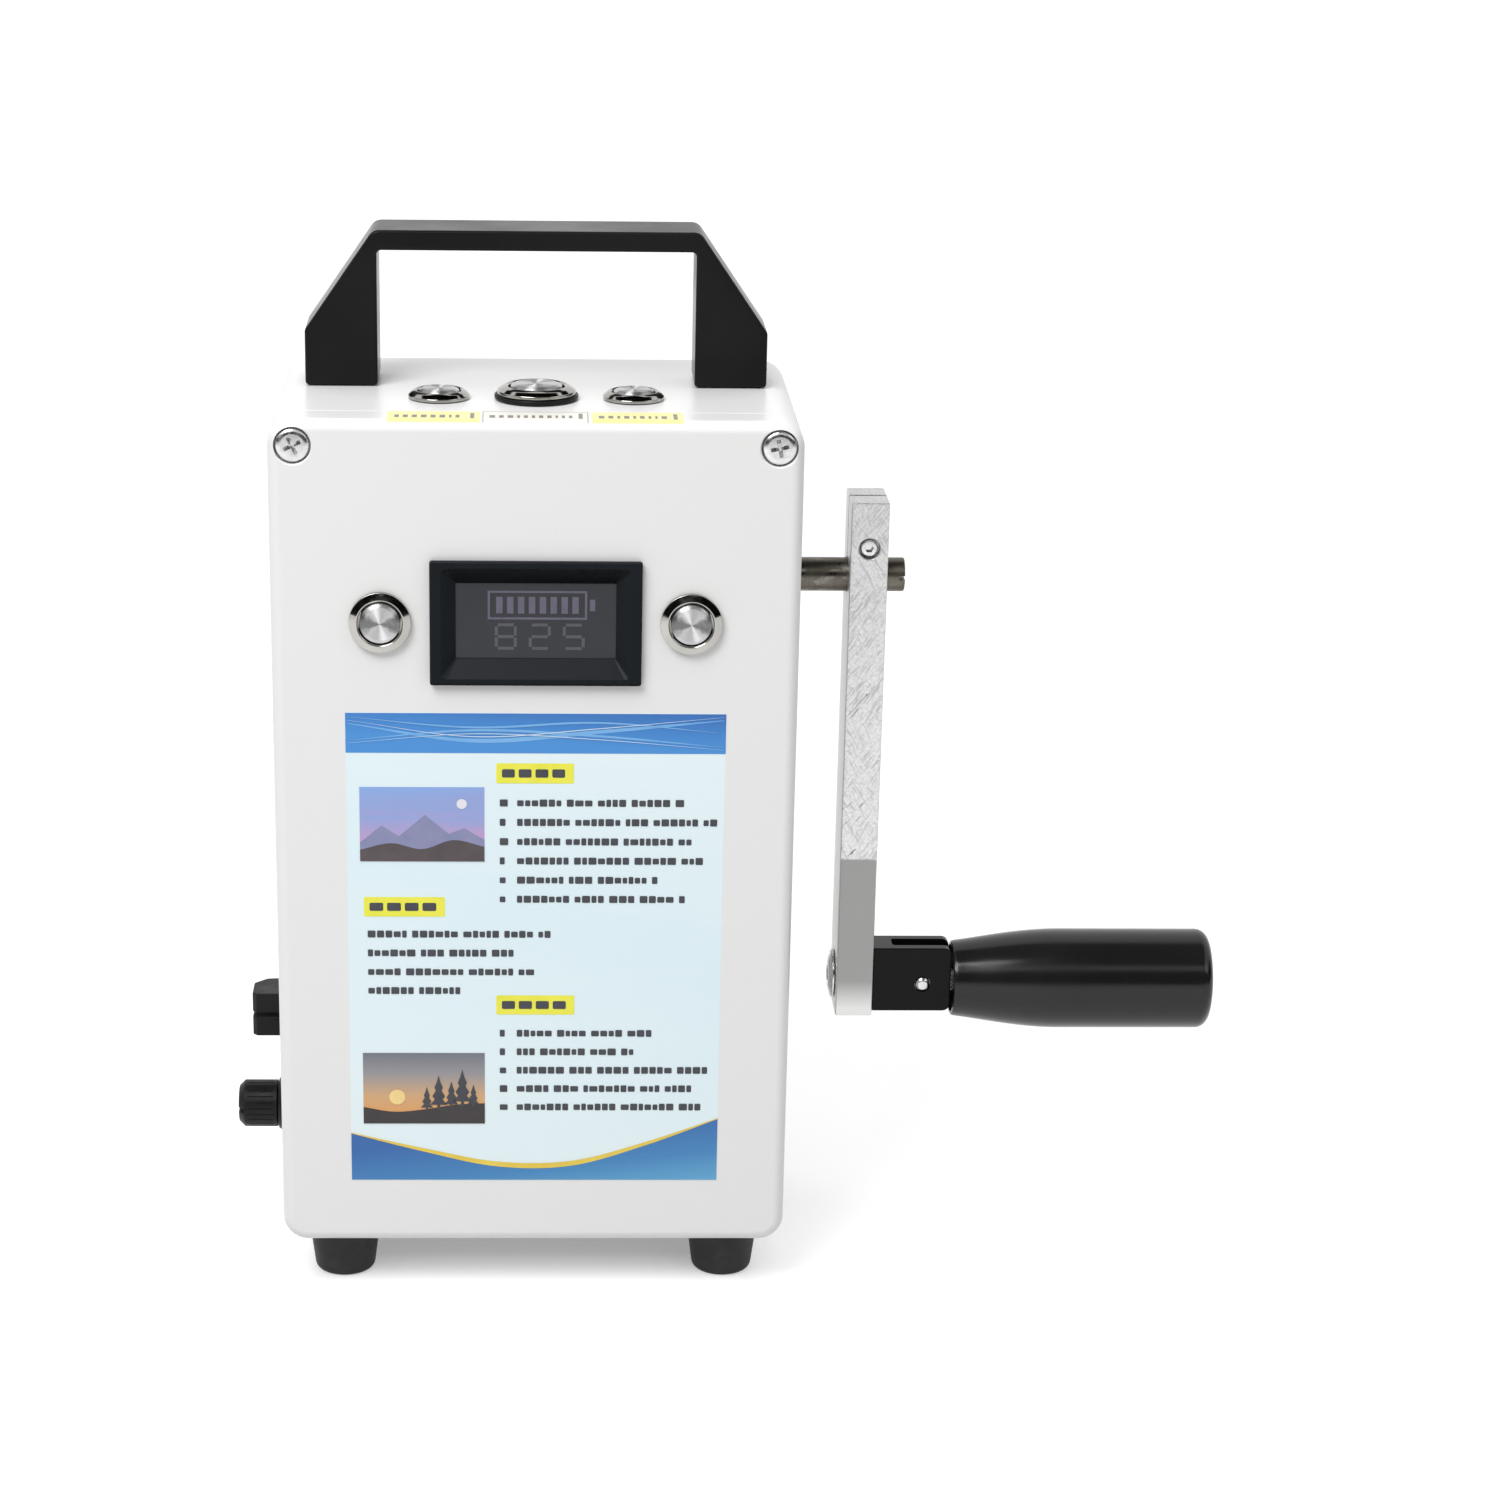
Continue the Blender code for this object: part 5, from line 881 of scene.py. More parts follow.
def build_button(name, direction, spun):
    """Threaded body with a bright bezel, flat-coned or domed, and a spun cap that moves in it."""
    body, button = Box(f"{name}_button_body"), Box(f"{name}_button_cap")
    axis, sign = (Y, -1) if direction == "-Y" else (Z, 1)
    (front, back), (cap_front, cap_back) = (
        (box.low[axis], box.high[axis])[::-sign] for box in (body, button))
    radius = body.size[X] / 2
    base = body.at()
    base[axis] = front - sign * CREST
    depth = (front - back) * sign - CREST
    barrel = radius - 0.001
    root = barrel - 0.0005
    bore = radius * BORE_SHARE
    bottom = (cap_back - base[axis]) * sign
    floor = bottom - BUTTON_TRAVEL - GAP
    thread = []
    for step in range(int((depth - WALL) / THREAD_PITCH) - 1):
        height = -WALL - step * THREAD_PITCH
        thread += [(barrel, height), (root, height - THREAD_PITCH / 2)]
    coned = [(bore, CREST - 0.0003, 0.0002), (radius * 0.765, CREST, 0.0003),
             (radius, CREST - 0.0007, 0.00015), (radius, 0)]
    domed = [(bore, CREST - 0.00045, 0.00035), (radius * 0.775, CREST + 0.00002, 0.0016),
             (radius * 0.89, CREST - 0.00045, 0.0016), (radius, 0.0006, 0.0003), (radius, 0)]
    rim = rounded(coned if sign < 0 else domed, 8, closed=False)
    profile = [(0, floor), (bore, floor), *rim, (barrel, 0), *thread, (root, -depth), (0, -depth)]
    piece(f"{name}_bezel", lathe(profile, base, direction), CHROME, body.node)
    cap = radius * CAP_SHARE
    top = (cap_front - base[axis]) * sign
    plunger = turned([(0, top), (cap * 0.84, top, 0.0015), (cap * 0.87, top - 0.00008, 0.0004),
                      (cap, top - 0.0004, 0.0003), (cap, bottom), (0, bottom)], base, direction, 6)
    piece(f"{name}_plunger", plunger, spun, button.node, f"{name}_button")


def build_buttons():
    for side in SIDES:
        build_button(f"front_{side}", "-Y", SPUN_FRONT)
    for side in ("left", "middle", "right"):
        build_button(f"top_{side}", "+Z", SPUN_TOP)
    gasket = Box("top_middle_gasket")
    outer, inner = gasket.size[X] / 2, LARGE_BARREL + 0.0004
    top, bottom = gasket.high.z - gasket.middle.z, gasket.low.z - gasket.middle.z
    ring = rounded([(inner, top), (outer, top, 0.0003), (outer, bottom, 0.0003), (inner, bottom)])
    piece("middle_gasket", lathe(ring, gasket.middle, "+Z"), MOULDED, gasket.node)


# Fittings on the left side and the back

def build_terminal():
    """A block with two holes for wires, and two levers in a pocket."""
    body = Box("terminal_body")
    upper, lower = (Box(f"terminal_lever_{label}") for label in ("upper", "lower"))
    pocket_half, pocket_depth = 0.0085, 0.0080
    wire_y = -0.0120
    pocket = block((body.low.x - 0.0015, -pocket_half, lower.low.z - GAP),
                   (body.low.x + pocket_depth, pocket_half, upper.high.z + GAP))
    holes = [lathe([(0, 0.001), (0.0021, 0.001), (0.0015, -0.0008), (0.0015, -0.0065),
                    (0, -0.0065)], lever.at(x=body.low.x, y=wire_y), "-X", 48)
             for lever in (upper, lower)]
    piece("terminal_block", cut(soft_block(body.low, body.high, 0.0002, 2), pocket, *holes),
          MOULDED, body.node)
    for label, lever in (("upper", upper), ("lower", lower)):
        tip, heel = lever.low.x, lever.high.x
        front, back = lever.low.y, lever.high.y
        outline = rounded([(heel, front + 0.0010, 0.0004), (heel, back - 0.0010, 0.0004),
                           (heel - 0.0020, back, 0.0006), (tip + 0.0030, back - 0.0010, 0.0012),
                           (tip, back - 0.0040, 0.0012), (tip, front + 0.0010, 0.0006),
                           (tip + 0.0010, front, 0.0004), (LEFT_X, front, 0.0006)])
        bm = bevel(prism(outline, "XY", lever.low.z, lever.high.z), 0.0003, 3)
        piece(f"lever_{label}", bm, MOULDED, lever.node,
              f"{label}_terminal_lever")


def build_fuse():
    """A flanged collar, and a knob in it with ribs and a coin slot."""
    holder, knob = Box("fuse_holder_body"), Box("fuse_cap")
    centre = holder.middle
    at = holder.at(x=LEFT_X)
    flange = holder.size[Y] / 2
    inner = 0.0043
    barrel = 0.0057
    collar = LEFT_X - holder.low.x
    depth = holder.high.x - LEFT_X
    body = turned([(0, -depth + 0.004), (inner, -depth + 0.004), (inner, collar, 0.0003),
                   (0.0062, collar, 0.0003), (flange, 0.0009, 0.0006), (flange, GAP),
                   (barrel, GAP), (barrel, -depth), (0, -depth)], at, "-X", 4)
    piece("fuse_collar", body, MOULDED, holder.node)
    end, heel = LEFT_X - knob.low.x, LEFT_X - knob.high.x
    radius = knob.size[Y] / 2
    plug = inner - 2 * GAP
    cap = turned([(0, end), (radius - 0.0014, end, 0.0003), (radius, end - 0.0014, 0.0003),
                  (radius, collar + GAP, 0.0002), (plug, collar + GAP), (plug, heel), (0, heel)],
                 at, "-X", 4, 144)
    slot = block((knob.low.x - WALL, centre.y - 2 * radius, centre.z - 0.0006),
                 (knob.low.x + 0.0014, centre.y + 2 * radius, centre.z + 0.0006))
    ribs = 24
    groove = 0.00022
    reach = radius + groove * 0.3
    grooves = []
    for step in range(ribs):
        angle = 2 * pi * (step + 0.5) / ribs
        place = (LEFT_X, centre.y + reach * cos(angle), centre.z + reach * sin(angle))
        grooves.append(lathe([(0, end - 0.0021), (groove, end - 0.0024),
                              (groove, collar + 0.0013), (0, collar + 0.0010)], place, "-X", 8))
    piece("fuse_knob", cut(cap, slot, *grooves), MOULDED, knob.node, "fuse_cap")


def build_jack():
    jack = Box("charging_jack")
    depth, proud = jack.high.x - LEFT_X, LEFT_X - jack.low.x
    radius = jack.size[Y] / 2
    pin, bore, collar = 0.0009, 0.0029, 0.0037
    bm = turned([(0, 0.0), (0.0006, 0.0, 0.0002), (pin, -0.0006), (pin, -0.0095),
                 (bore, -0.0095), (bore, proud - 0.0004), (0.0032, proud, 0.0001),
                 (collar, proud, 0.0002), (collar, -0.0028), (radius, -0.0028),
                 (radius, -depth), (0, -depth)], jack.at(x=LEFT_X), "-X", 3)
    piece("barrel_jack", bm, MOULDED, jack.node)


def build_usb():
    """Two ports in one housing, each with a metal liner, a tongue and four contacts."""
    usb = Box("usb_socket")
    face = usb.low.x
    half_y, half_z = 0.00625, 0.0023
    skin, clearance = 0.0003, 0.00005
    tongue_half, finger_pitch, finger_half = 0.0054, 0.0024, 0.0005
    ports, liners, tongues, contacts = [], [], [], []
    for rise in (-0.0040, 0.0040):
        z = usb.middle.z + rise

        def room(front, back, inset=0.0):
            y_half, z_half = half_y - inset, half_z - inset
            return block((front, usb.middle.y - y_half, z - z_half),
                         (back, usb.middle.y + y_half, z + z_half))

        ports.append(room(face - WALL, face + 0.0110))
        liners.append(cut(room(face + 0.0002, face + 0.0108, clearance),
                          room(face - 0.001, face + 0.0105, skin)))
        tongues.append(soft_block((face + 0.0012, usb.middle.y - tongue_half, z + 0.0002),
                                  (face + 0.0106, usb.middle.y + tongue_half, z + 0.0016),
                                  0.0002, 2))
        for finger in range(4):
            y = usb.middle.y + (finger - 1.5) * finger_pitch
            contacts.append(block((face + 0.0020, y - finger_half, z + 0.00008),
                                  (face + 0.0090, y + finger_half, z + 0.00022)))
    housing = cut(soft_block(usb.low, usb.high, 0.0003, 3), *ports)
    piece("usb_housing", housing, MOULDED, usb.node)
    piece("usb_liners", merged(liners), CHROME)
    piece("usb_tongues", merged(tongues), printed("usb_tongue", (0.55, 0.56, 0.56),
                                                  (0.50, 0.51, 0.51)))
    piece("usb_contacts", merged(contacts), BRASS)


def build_outlet():
    outlet = Box("ac_outlet")
    low, high, middle = outlet.low, outlet.high, outlet.middle
    plate = soft_block((low.x, BACK_Y + GAP, low.z), high, 0.0006, 5)
    body = block((low.x + OUTLET_RIM, low.y, low.z + OUTLET_RIM),
                 (high.x - OUTLET_RIM, high.y - 0.0012, high.z - OUTLET_RIM))
    half_width, half_height = 0.0120, 0.0075
    recess = soft_block((middle.x - half_width, high.y - 0.0005, middle.z - half_height),
                        (middle.x + half_width, high.y + 0.001, middle.z + half_height),
                        0.0002, 2)
    blade_half, blade_reach, blade_depth, blade_x = 0.0011, 0.0038, 0.0150, 0.00635
    blades = [block((middle.x + x - blade_half, high.y - blade_depth, middle.z - blade_reach),
                    (middle.x + x + blade_half, high.y + WALL, middle.z + blade_reach))
              for x in (-blade_x, blade_x)]
    bm = cut(cut(joined(plate, body), recess), *blades)
    piece("rear_outlet", bm, MOULDED, outlet.node)


# Crank

def build_shaft():
    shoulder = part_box("gearbox_frame")[0].x + 0.0023
    journal = 0.003
    at = (0, 0, SHAFT_Z)
    end = SHAFT.high.x
    shaft = turned([(0, end), (SHAFT_RADIUS, end, 0.0004), (SHAFT_RADIUS, shoulder),
                    (journal, shoulder), (journal, SHAFT.low.x), (0, SHAFT.low.x)], at, "+X")
    slot_depth, slot_half, past = 0.0014, 0.0005, 0.001
    slot = block((end - slot_depth, -SHAFT_RADIUS - past, SHAFT_Z - slot_half),
                 (end + past, SHAFT_RADIUS + past, SHAFT_Z + slot_half))
    piece("main_shaft", cut(shaft, slot), WORN, SHAFT.node, "crank")
    outer, bore = BUSHING.size[Y] / 2, SHAFT_RADIUS + GAP / 2
    ring = rounded([(bore, BUSHING.high.x, 0.0003), (outer, BUSHING.high.x, 0.0003),
                    (outer, BUSHING.low.x), (bore, BUSHING.low.x)], 4)
    piece("flush_bushing", lathe(ring, at, "+X"), BRASS, BUSHING.node)


def build_arm():
    """A flat bar, split above the shaft and bored for the shaft and the two screws."""
    start = ARM.low.x - WALL
    through = 0.016
    slit = 0.0005
    bore, mouth, depth = 0.0025, 0.0002, 0.0032
    clamp = CLAMP.at(x=ARM.middle.x, y=ARM.low.y)
    clamp_shank, clamp_reach = 0.0015, 0.0135
    bar = cut(soft_block(ARM.low, ARM.high, 0.00035, 3),
              rod(SHAFT_RADIUS + GAP, (start, 0, SHAFT_Z), "+X", through),
              rod(FORK_SCREW_HOLE, FORK_SCREW.at(x=start, y=0), "+X", through, segments=48))
    bar = cut(bar, block((start, -slit, SHAFT_Z), (ARM.high.x + WALL, slit, ARM.high.z + WALL)))
    bar = cut(bar, lathe([(0, WALL), (bore + mouth, WALL), (bore + mouth, 0), (bore, -mouth),
                          (bore, -depth), (0, -depth)], clamp, "-Y", 64))
    bar = cut(bar, rod(clamp_shank, clamp, "+Y", clamp_reach, segments=32))
    piece("flat_bar_arm", bar, ALUMINIUM, ARM.node, "crank")


def build_crank_screws():
    """Both with a hexagon socket: the arm's clamp screw and the fork's."""
    at = CLAMP.at(y=CLAMP.low.y)
    length = CLAMP.size[Y]
    head, shank, height = CLAMP.size[X] / 2, 0.0012, -0.0020
    screw = turned([(0, 0), (head, 0, 0.0004), (head, height), (shank, height), (shank, -length),
                    (0, -length)], at, "-Y")
    socket = rod(0.0011, at, "-Y", 0.001, -0.0013, 6)
    piece("clamp_cap_screw", cut(screw, socket), STEEL, CLAMP.node, "crank")
    at = FORK_SCREW.at(x=FORK_SCREW.low.x, y=0)
    length = FORK_SCREW.size[X]
    head, shank, height = FORK_SCREW.size[Z] / 2, 0.0022, -0.0013
    screw = turned([(0, 0), (head * 0.55, -0.00008, 0.002), (head, -0.0008, 0.0004),
                    (head, height), (shank, height), (shank, -length), (0, -length)], at, "-X", 6)
    socket = rod(0.0021, at, "-X", 0.001, -0.0008, 6)
    piece("fork_button_screw", cut(screw, socket), STEEL, FORK_SCREW.node, "crank")


def build_fork():
    """The slotted clevis, and the pin that the grip folds on."""
    low, high = FORK.low, FORK.high
    past = 0.002
    outline = rounded([(low.x, low.z, 0.0004), (high.x, low.z, FORK_CORNER),
                       (high.x, high.z, FORK_CORNER), (low.x, high.z, 0.0004)], 8)
    bm = bevel(prism(outline, "XZ", low.y, high.y), 0.0004, 4, lies_at(Y, low.y, high.y))
    start = PIN.middle.x - SLOT_BACK
    slot = block((start, -FORK_SLOT / 2, low.z - past), (high.x + past, FORK_SLOT / 2,
                                                         high.z + past))
    bevel(slot, 0.0008, 4, lies_at(X, start), runs_along(Z))
    radius = PIN.size[X] / 2
    bores = [rod(radius + GAP, PIN.at(y=low.y - past), "+Y", 0.014, segments=48),
             rod(FORK_SCREW_HOLE, FORK_SCREW.at(x=low.x - past, y=0), "+X", 0.0083, segments=32)]
    piece("clevis", cut(cut(bm, slot), *bores), FORK_BLACK, FORK.node, "crank")
    half = PIN.size[Y] / 2
    dome = [(radius * 0.62, half - 0.00006, 0.0008), (radius, half - 0.0006, 0.0004)]
    dome += [(x, -height, rounding) for x, height, rounding in reversed(dome)]
    pin = turned([(0, half), *dome, (0, -half)], PIN.middle, "-Y", 6, 64)
    piece("clevis_pin", pin, STEEL, PIN.node, "crank")


def build_grip():
    """A waisted barrel with a rounded end, and the plug that closes it."""
    large = GRIP.size[Z] / 2
    start, end = GRIP.low.x, GRIP.high.x
    outer = [(GRIP_SMALL - 0.0005, start), (GRIP_SMALL - 0.00015, start + 0.00015),
             (GRIP_SMALL, start + 0.0005)]
    steps = 28
    for share in (step / steps for step in range(1, steps + 1)):
        outer.append((GRIP_SMALL + (large - GRIP_SMALL) * sin(share * pi / 2) ** 1.2,
                      start + share * GRIP_TAPER))
    steps = 10
    for angle in (step * pi / 2 / steps for step in range(steps + 1)):
        outer.append((large - GRIP_END_ROUND + GRIP_END_ROUND * cos(angle),
                      end - GRIP_END_ROUND + GRIP_END_ROUND * sin(angle)))
    rim = 0.0083
    floor = start + 0.0015
    cavity = end - CAVITY_LENGTH
    inner = [(GRIP_CAVITY, end), (GRIP_CAVITY, cavity), (GRIP_BORE, cavity), (GRIP_BORE, floor),
             (rim, floor), (rim, start)]
    at = (0, 0, PIN.middle.z)
    piece("grip_barrel", lathe(outer[::-1] + inner[::-1], at, "+X", 128), GRIP_BLACK,
          GRIP.node, "grip")
    plug = Box("grip_plug")
    radius = plug.size[Z] / 2
    face = plug.high.x
    bm = turned([(0, face - 0.0002), (radius * 0.7, face - 0.0002, 0.001), (radius, face, 0.0004),
                 (radius, plug.low.x), (0, plug.low.x)], at, "+X")
    piece("grip_end_plug", bm, MOULDED, plug.node, "grip")


# Printed sheet on the front

def on_front(outline, layer):
    """A printed shape as a very thin plate, in its layer above the cover's face."""
    near = FRONT_Y - layer * LAYER - INK_DEPTH
    return prism(outline, "XZ", near, near + INK_DEPTH * 1.5)


def greeked(words, x, z, width):
    """A line of small blank blocks in uneven groups, standing for text."""
    height = TEXT_HEIGHT
    blocks = []
    at = x
    left_in_group = words.randint(3, 7)
    while at < x + width - height * 0.6:
        length = words.uniform(0.6, 1.15) * height
        lift = words.choice((0.0, 0.0, 0.12)) * height
        blocks.append(on_front(rectangle(at, z + lift / 2, at + length, z + height - lift,
                                         height * 0.14, 2), 2))
        at += length + height * 0.2
        left_in_group -= 1
        if not left_in_group:
            at += height * 0.55
            left_in_group = words.randint(3, 7)
    return blocks


def curve_points(left, right, low, rises, steps=48):
    """A smooth line through evenly spaced heights."""
    heights = [low + rise for rise in rises]
    spans = len(heights) - 1
    around = [2 * heights[0] - heights[1], *heights, 2 * heights[-1] - heights[-2]]
    points = []
    for step in range(steps + 1):
        along = step / steps * spans
        index = min(int(along), spans - 1)
        t = along - index
        before, start, end, after = around[index:index + 4]
        bend = (2 * before - 5 * start + 4 * end - after) * t ** 2
        twist = (3 * start - before - 3 * end + after) * t ** 3
        points.append((left + (right - left) * step / steps,
                       (2 * start + (end - before) * t + bend + twist) / 2))
    return points


def ribbon(points, thickness):
    """A line that swells toward its middle and dies away at both ends."""
    last = len(points) - 1
    half = [thickness / 2 * (0.15 + 0.85 * sin(pi * index / last)) for index in range(last + 1)]
    lower, upper = ([(x, z + side * extra) for (x, z), extra in zip(points, half)]
                    for side in (-1, 1))
    return lower + upper[::-1]


def pine(x, z, height):
    """A stepped fir tree as a flat outline."""
    half = height * 0.24
    trunk = half * 0.16
    points = [(x + trunk, z), (x + trunk, z + height * 0.12)]
    for tier in range(3):
        base = z + height * (0.12 + 0.26 * tier)
        reach = half * (1 - 0.26 * tier)
        points += [(x + reach, base), (x + reach * 0.45, base + height * 0.16)]
    points.append((x, z + height))
    return [(2 * x - u, v) for u, v in points[:-1]] + points[::-1]


def build_sheet():
    paper = printed_fade("sheet_paper", [(0.0, (0.83, 0.955, 0.99)), (0.45, (0.78, 0.93, 0.985)),
                                         (1.0, (0.86, 0.965, 0.99))],
                         SHEET_LOW, SHEET_HIGH, tilt=0.35, streak=0.03)
    blue = printed_fade("header_blue", [(0.0, (0.052, 0.28, 0.70)), (0.5, (0.034, 0.22, 0.61)),
                                        (1.0, (0.018, 0.135, 0.46))],
                        HEADER_LOW, SHEET_HIGH, tilt=0.05)
    piece("label_sheet",
          on_front(rectangle(SHEET_LEFT, SHEET_LOW, SHEET_RIGHT, SHEET_HIGH, 0.0006), 0), paper)
    piece("label_header",
          on_front(rectangle(SHEET_LEFT, HEADER_LOW, SHEET_RIGHT, SHEET_HIGH - 0.0001), 1), blue)


def build_streaks():
    """Five curved lines over the header, three soft and two bright."""
    streaks = []
    for layer, (rises, thickness) in enumerate((((0.0070, 0.0030, 0.0052, 0.0080), 0.0010),
                                                ((0.0030, 0.0055, 0.0042, 0.0016), 0.0006),
                                                ((0.0086, 0.0062, 0.0074, 0.0050), 0.0005),
                                                ((0.0078, 0.0040, 0.0060, 0.0088), 0.00022),
                                                ((0.0024, 0.0047, 0.0034, 0.0010), 0.00018)), 2):
        line = curve_points(SHEET_LEFT + 0.0005, SHEET_RIGHT - 0.0005, HEADER_LOW, rises)
        streaks.append(on_front(ribbon(line, thickness), layer))
    piece("label_streaks", merged(streaks[:3]),
          printed("streak_pale", (0.16, 0.42, 0.80), (0.20, 0.48, 0.84), 120))
    piece("label_streak_lights", merged(streaks[3:]),
          printed("streak_white", (0.55, 0.74, 0.92), (0.68, 0.83, 0.95), 120))


def build_wave():
    """The blue field at the foot of the sheet, with a gold line on its crest."""
    blue = printed_fade("wave_blue", [(0.0, (0.115, 0.40, 0.66)), (0.45, (0.04, 0.23, 0.52)),
                                      (1.0, (0.018, 0.125, 0.40))],
                        SHEET_LOW, SHEET_LOW + 0.018, tilt=-0.12)
    crest = curve_points(SHEET_LEFT, SHEET_RIGHT, SHEET_LOW,
                         (0.0122, 0.0078, 0.0042, 0.0044, 0.0094, 0.0160), 60)
    foot = SHEET_LOW + 0.0001
    piece("label_wave", on_front([(SHEET_LEFT, foot), *crest, (SHEET_RIGHT, foot)], 2), blue)
    piece("label_wave_line", on_front(ribbon(crest, 0.0013), 3),
          printed("wave_gold", (0.80, 0.56, 0.05), (0.86, 0.66, 0.09)))


def build_text():
    """Three columns of blank bars, then three marked headings of four bars each."""
    words = random.Random(11)
    width = SHEET_RIGHT - SHEET_LEFT
    column, indent = SHEET_LEFT + width * 0.405, SHEET_LEFT + 0.0045
    bullet, hanging = 0.0014, 0.0040
    text = []
    for x, top, full, bullets, shares in (
            (column, 0.1232, 0.54, True, (0.80, 0.98, 0.88, 0.93, 0.72, 0.84)),
            (indent, 0.0910, 0.52, False, (0.95, 0.78, 0.86, 0.5)),
            (column, 0.0662, 0.53, True, (0.70, 0.60, 1.0, 0.92, 0.94))):
        for index, share in enumerate(shares):
            z = top - index * TEXT_ROW
            if bullets:
                text += greeked(words, x, z, bullet)
            text += greeked(words, x + hanging if bullets else x, z, width * full * share)
    piece("label_text_bars", merged(text), INK)
    marks, heads = [], []
    for x, z, length in ((column, 0.1288, 0.0170), (indent, 0.0962, 0.0180),
                         (column, 0.0718, 0.0175)):
        marks.append(on_front(rectangle(x - 0.0008, z, x + length, z + 0.0048, 0.0004), 2))
        step = (length - 0.0016) / 4
        heads += [on_front(rectangle(x + 0.0005 + bar * step, z + 0.0014,
                                     x + (bar + 1) * step - 0.0004, z + 0.0034, 0.0004), 3)
                  for bar in range(4)]
    piece("label_highlights", merged(marks),
          printed("highlight_yellow", (0.93, 0.90, 0.07), (0.86, 0.84, 0.05)))
    piece("label_heading_bars", merged(heads), INK)


def picture(name, z, sky, rises, ground, extras):
    """A small landscape: faded sky, a line of hills, and shapes placed from its lower left."""
    left, right = PICTURE_LEFT, PICTURE_LEFT + PICTURE[0]
    piece(f"{name}_sky", on_front(rectangle(left, z, right, z + PICTURE[1]), 2), sky)
    hills = [(left, z), *curve_points(left, right, z, rises), (right, z)]
    piece(f"{name}_hills", on_front(hills, 4), ground)
    for label, outlines, finish in extras:
        plates = [on_front([(left + u, z + v) for u, v in outline], 5) for outline in outlines]
        piece(f"{name}_{label}", merged(plates), finish)


def build_dusk():
    low = 0.1098
    width, height = PICTURE
    sky = printed_fade("dusk_sky", [(0.0, (0.58, 0.30, 0.50)), (0.35, (0.50, 0.34, 0.62)),
                                    (0.7, (0.30, 0.38, 0.72)), (1.0, (0.26, 0.42, 0.80))],
                       low, low + height, streak=0.012)
    ridge = [(0, 0.0045), (0.0050, 0.0087), (0.0090, 0.0061), (0.0150, 0.0113),
             (0.0205, 0.0067), (0.0240, 0.0081), (width, 0.0053), (width, 0.0010), (0, 0.0010)]
    piece("picture_dusk_range",
          on_front([(PICTURE_LEFT + x, low + rise) for x, rise in ridge], 3),
          printed("far_range", (0.22, 0.24, 0.42), (0.28, 0.28, 0.46)))
    picture("picture_dusk", low, sky, (0.0028, 0.0044, 0.0030, 0.0052, 0.0036),
            printed("dusk_earth", (0.055, 0.040, 0.048), (0.080, 0.058, 0.062)),
            [("moon", [circle(0.0012, (width - 0.0052, height - 0.0040))],
              printed("moon_pale", (0.86, 0.84, 0.90), (0.80, 0.78, 0.86)))])


def build_sunset():
    low = 0.0440
    sky = printed_fade("sunset_sky", [(0.0, (0.78, 0.36, 0.10)), (0.32, (0.66, 0.40, 0.20)),
                                      (0.65, (0.32, 0.30, 0.31)), (1.0, (0.15, 0.17, 0.21))],
                       low + 0.002, low + PICTURE[1])
    trees = [pine(*tree) for tree in ((0.0150, 0.0034, 0.0060), (0.0178, 0.0038, 0.0085),
                                      (0.0208, 0.0042, 0.0066), (0.0234, 0.0046, 0.0092),
                                      (0.0260, 0.0044, 0.0056))]
    picture("picture_sunset", low, sky, (0.0042, 0.0030, 0.0036, 0.0048, 0.0052),
            printed("sunset_earth", (0.014, 0.008, 0.010), (0.022, 0.013, 0.014)),
            [("sun", [circle(0.0019, (0.0080, 0.0068))],
              printed("sun_pale", (0.95, 0.72, 0.30), (0.92, 0.66, 0.26))),
             ("pines", trees, INK)])


# Printed strips on the top

def on_top(low_x, low_y, high_x, high_y):
    near = TOP_Z + STRIP_INK_LAYER * LAYER
    return prism(rectangle(low_x, low_y, high_x, high_y), "XY", near, near + INK_DEPTH)


def over_edge(low, high, layer):
    """A thin film from the seam over the cover's top and some way round its front edge."""
    under = TOP_Z + layer * LAYER
    pivot_y = FRONT_Y + FRONT_EDGE_RADIUS
    pivot_z = TOP_Z - FRONT_EDGE_RADIUS
    inner = under - pivot_z
    outline = [(STRIP_BACK, under), (STRIP_BACK, under + INK_DEPTH)]
    steps = 8
    for radius, order in ((inner + INK_DEPTH, range(steps + 1)), (inner, range(steps, -1, -1))):
        for step in order:
            angle = STRIP_BEND * step / steps
            outline.append((pivot_y - radius * sin(angle), pivot_z + radius * cos(angle)))
    return prism(outline, "YZ", low, high)


def build_strips():
    """Three strips in front of the top buttons, each with a row of blank bars and an end mark."""
    yellow = printed("strip_yellow", (0.95, 0.90, 0.40), (0.93, 0.87, 0.34), 120)
    clear = printed("strip_clear", (0.90, 0.89, 0.82), (0.89, 0.88, 0.80), 120)
    words = random.Random(5)
    bars = []
    middle = (-0.0121, 0.0116)
    for label, (left, right), film in (("left", (-0.0333, -0.0126), yellow),
                                       ("middle", middle, clear),
                                       ("right", (0.0123, 0.0328), yellow)):
        low, high = MIDDLE_X + left, MIDDLE_X + right
        piece(f"strip_{label}", over_edge(low, high, STRIP_LAYER), film)
        at = low + 0.0016
        while at < high - 0.0042:
            length = words.uniform(0.0005, 0.0013)
            bars.append(on_top(at, STRIP_BARS[0], at + length, STRIP_BARS[1]))
            at += length + 0.0009
        bars.append(on_top(high - 0.0022, STRIP_MARK[0], high - 0.0013, STRIP_MARK[1]))
    low, high = (MIDDLE_X + edge for edge in middle)
    line = 0.0003
    edges = [over_edge(low, low + line, STRIP_INK_LAYER),
             over_edge(high - line, high, STRIP_INK_LAYER),
             on_top(low + line, STRIP_BACK - line, high - line, STRIP_BACK)]
    piece("strip_bars", merged(bars), printed("strip_ink", (0.16, 0.14, 0.12),
                                              (0.22, 0.20, 0.17), 300))
    piece("strip_outline", merged(edges), printed("strip_outline", (0.42, 0.40, 0.34),
                                                  (0.50, 0.48, 0.42), 300))


# Carried-over nodes inside the box keep their shape and get a finish

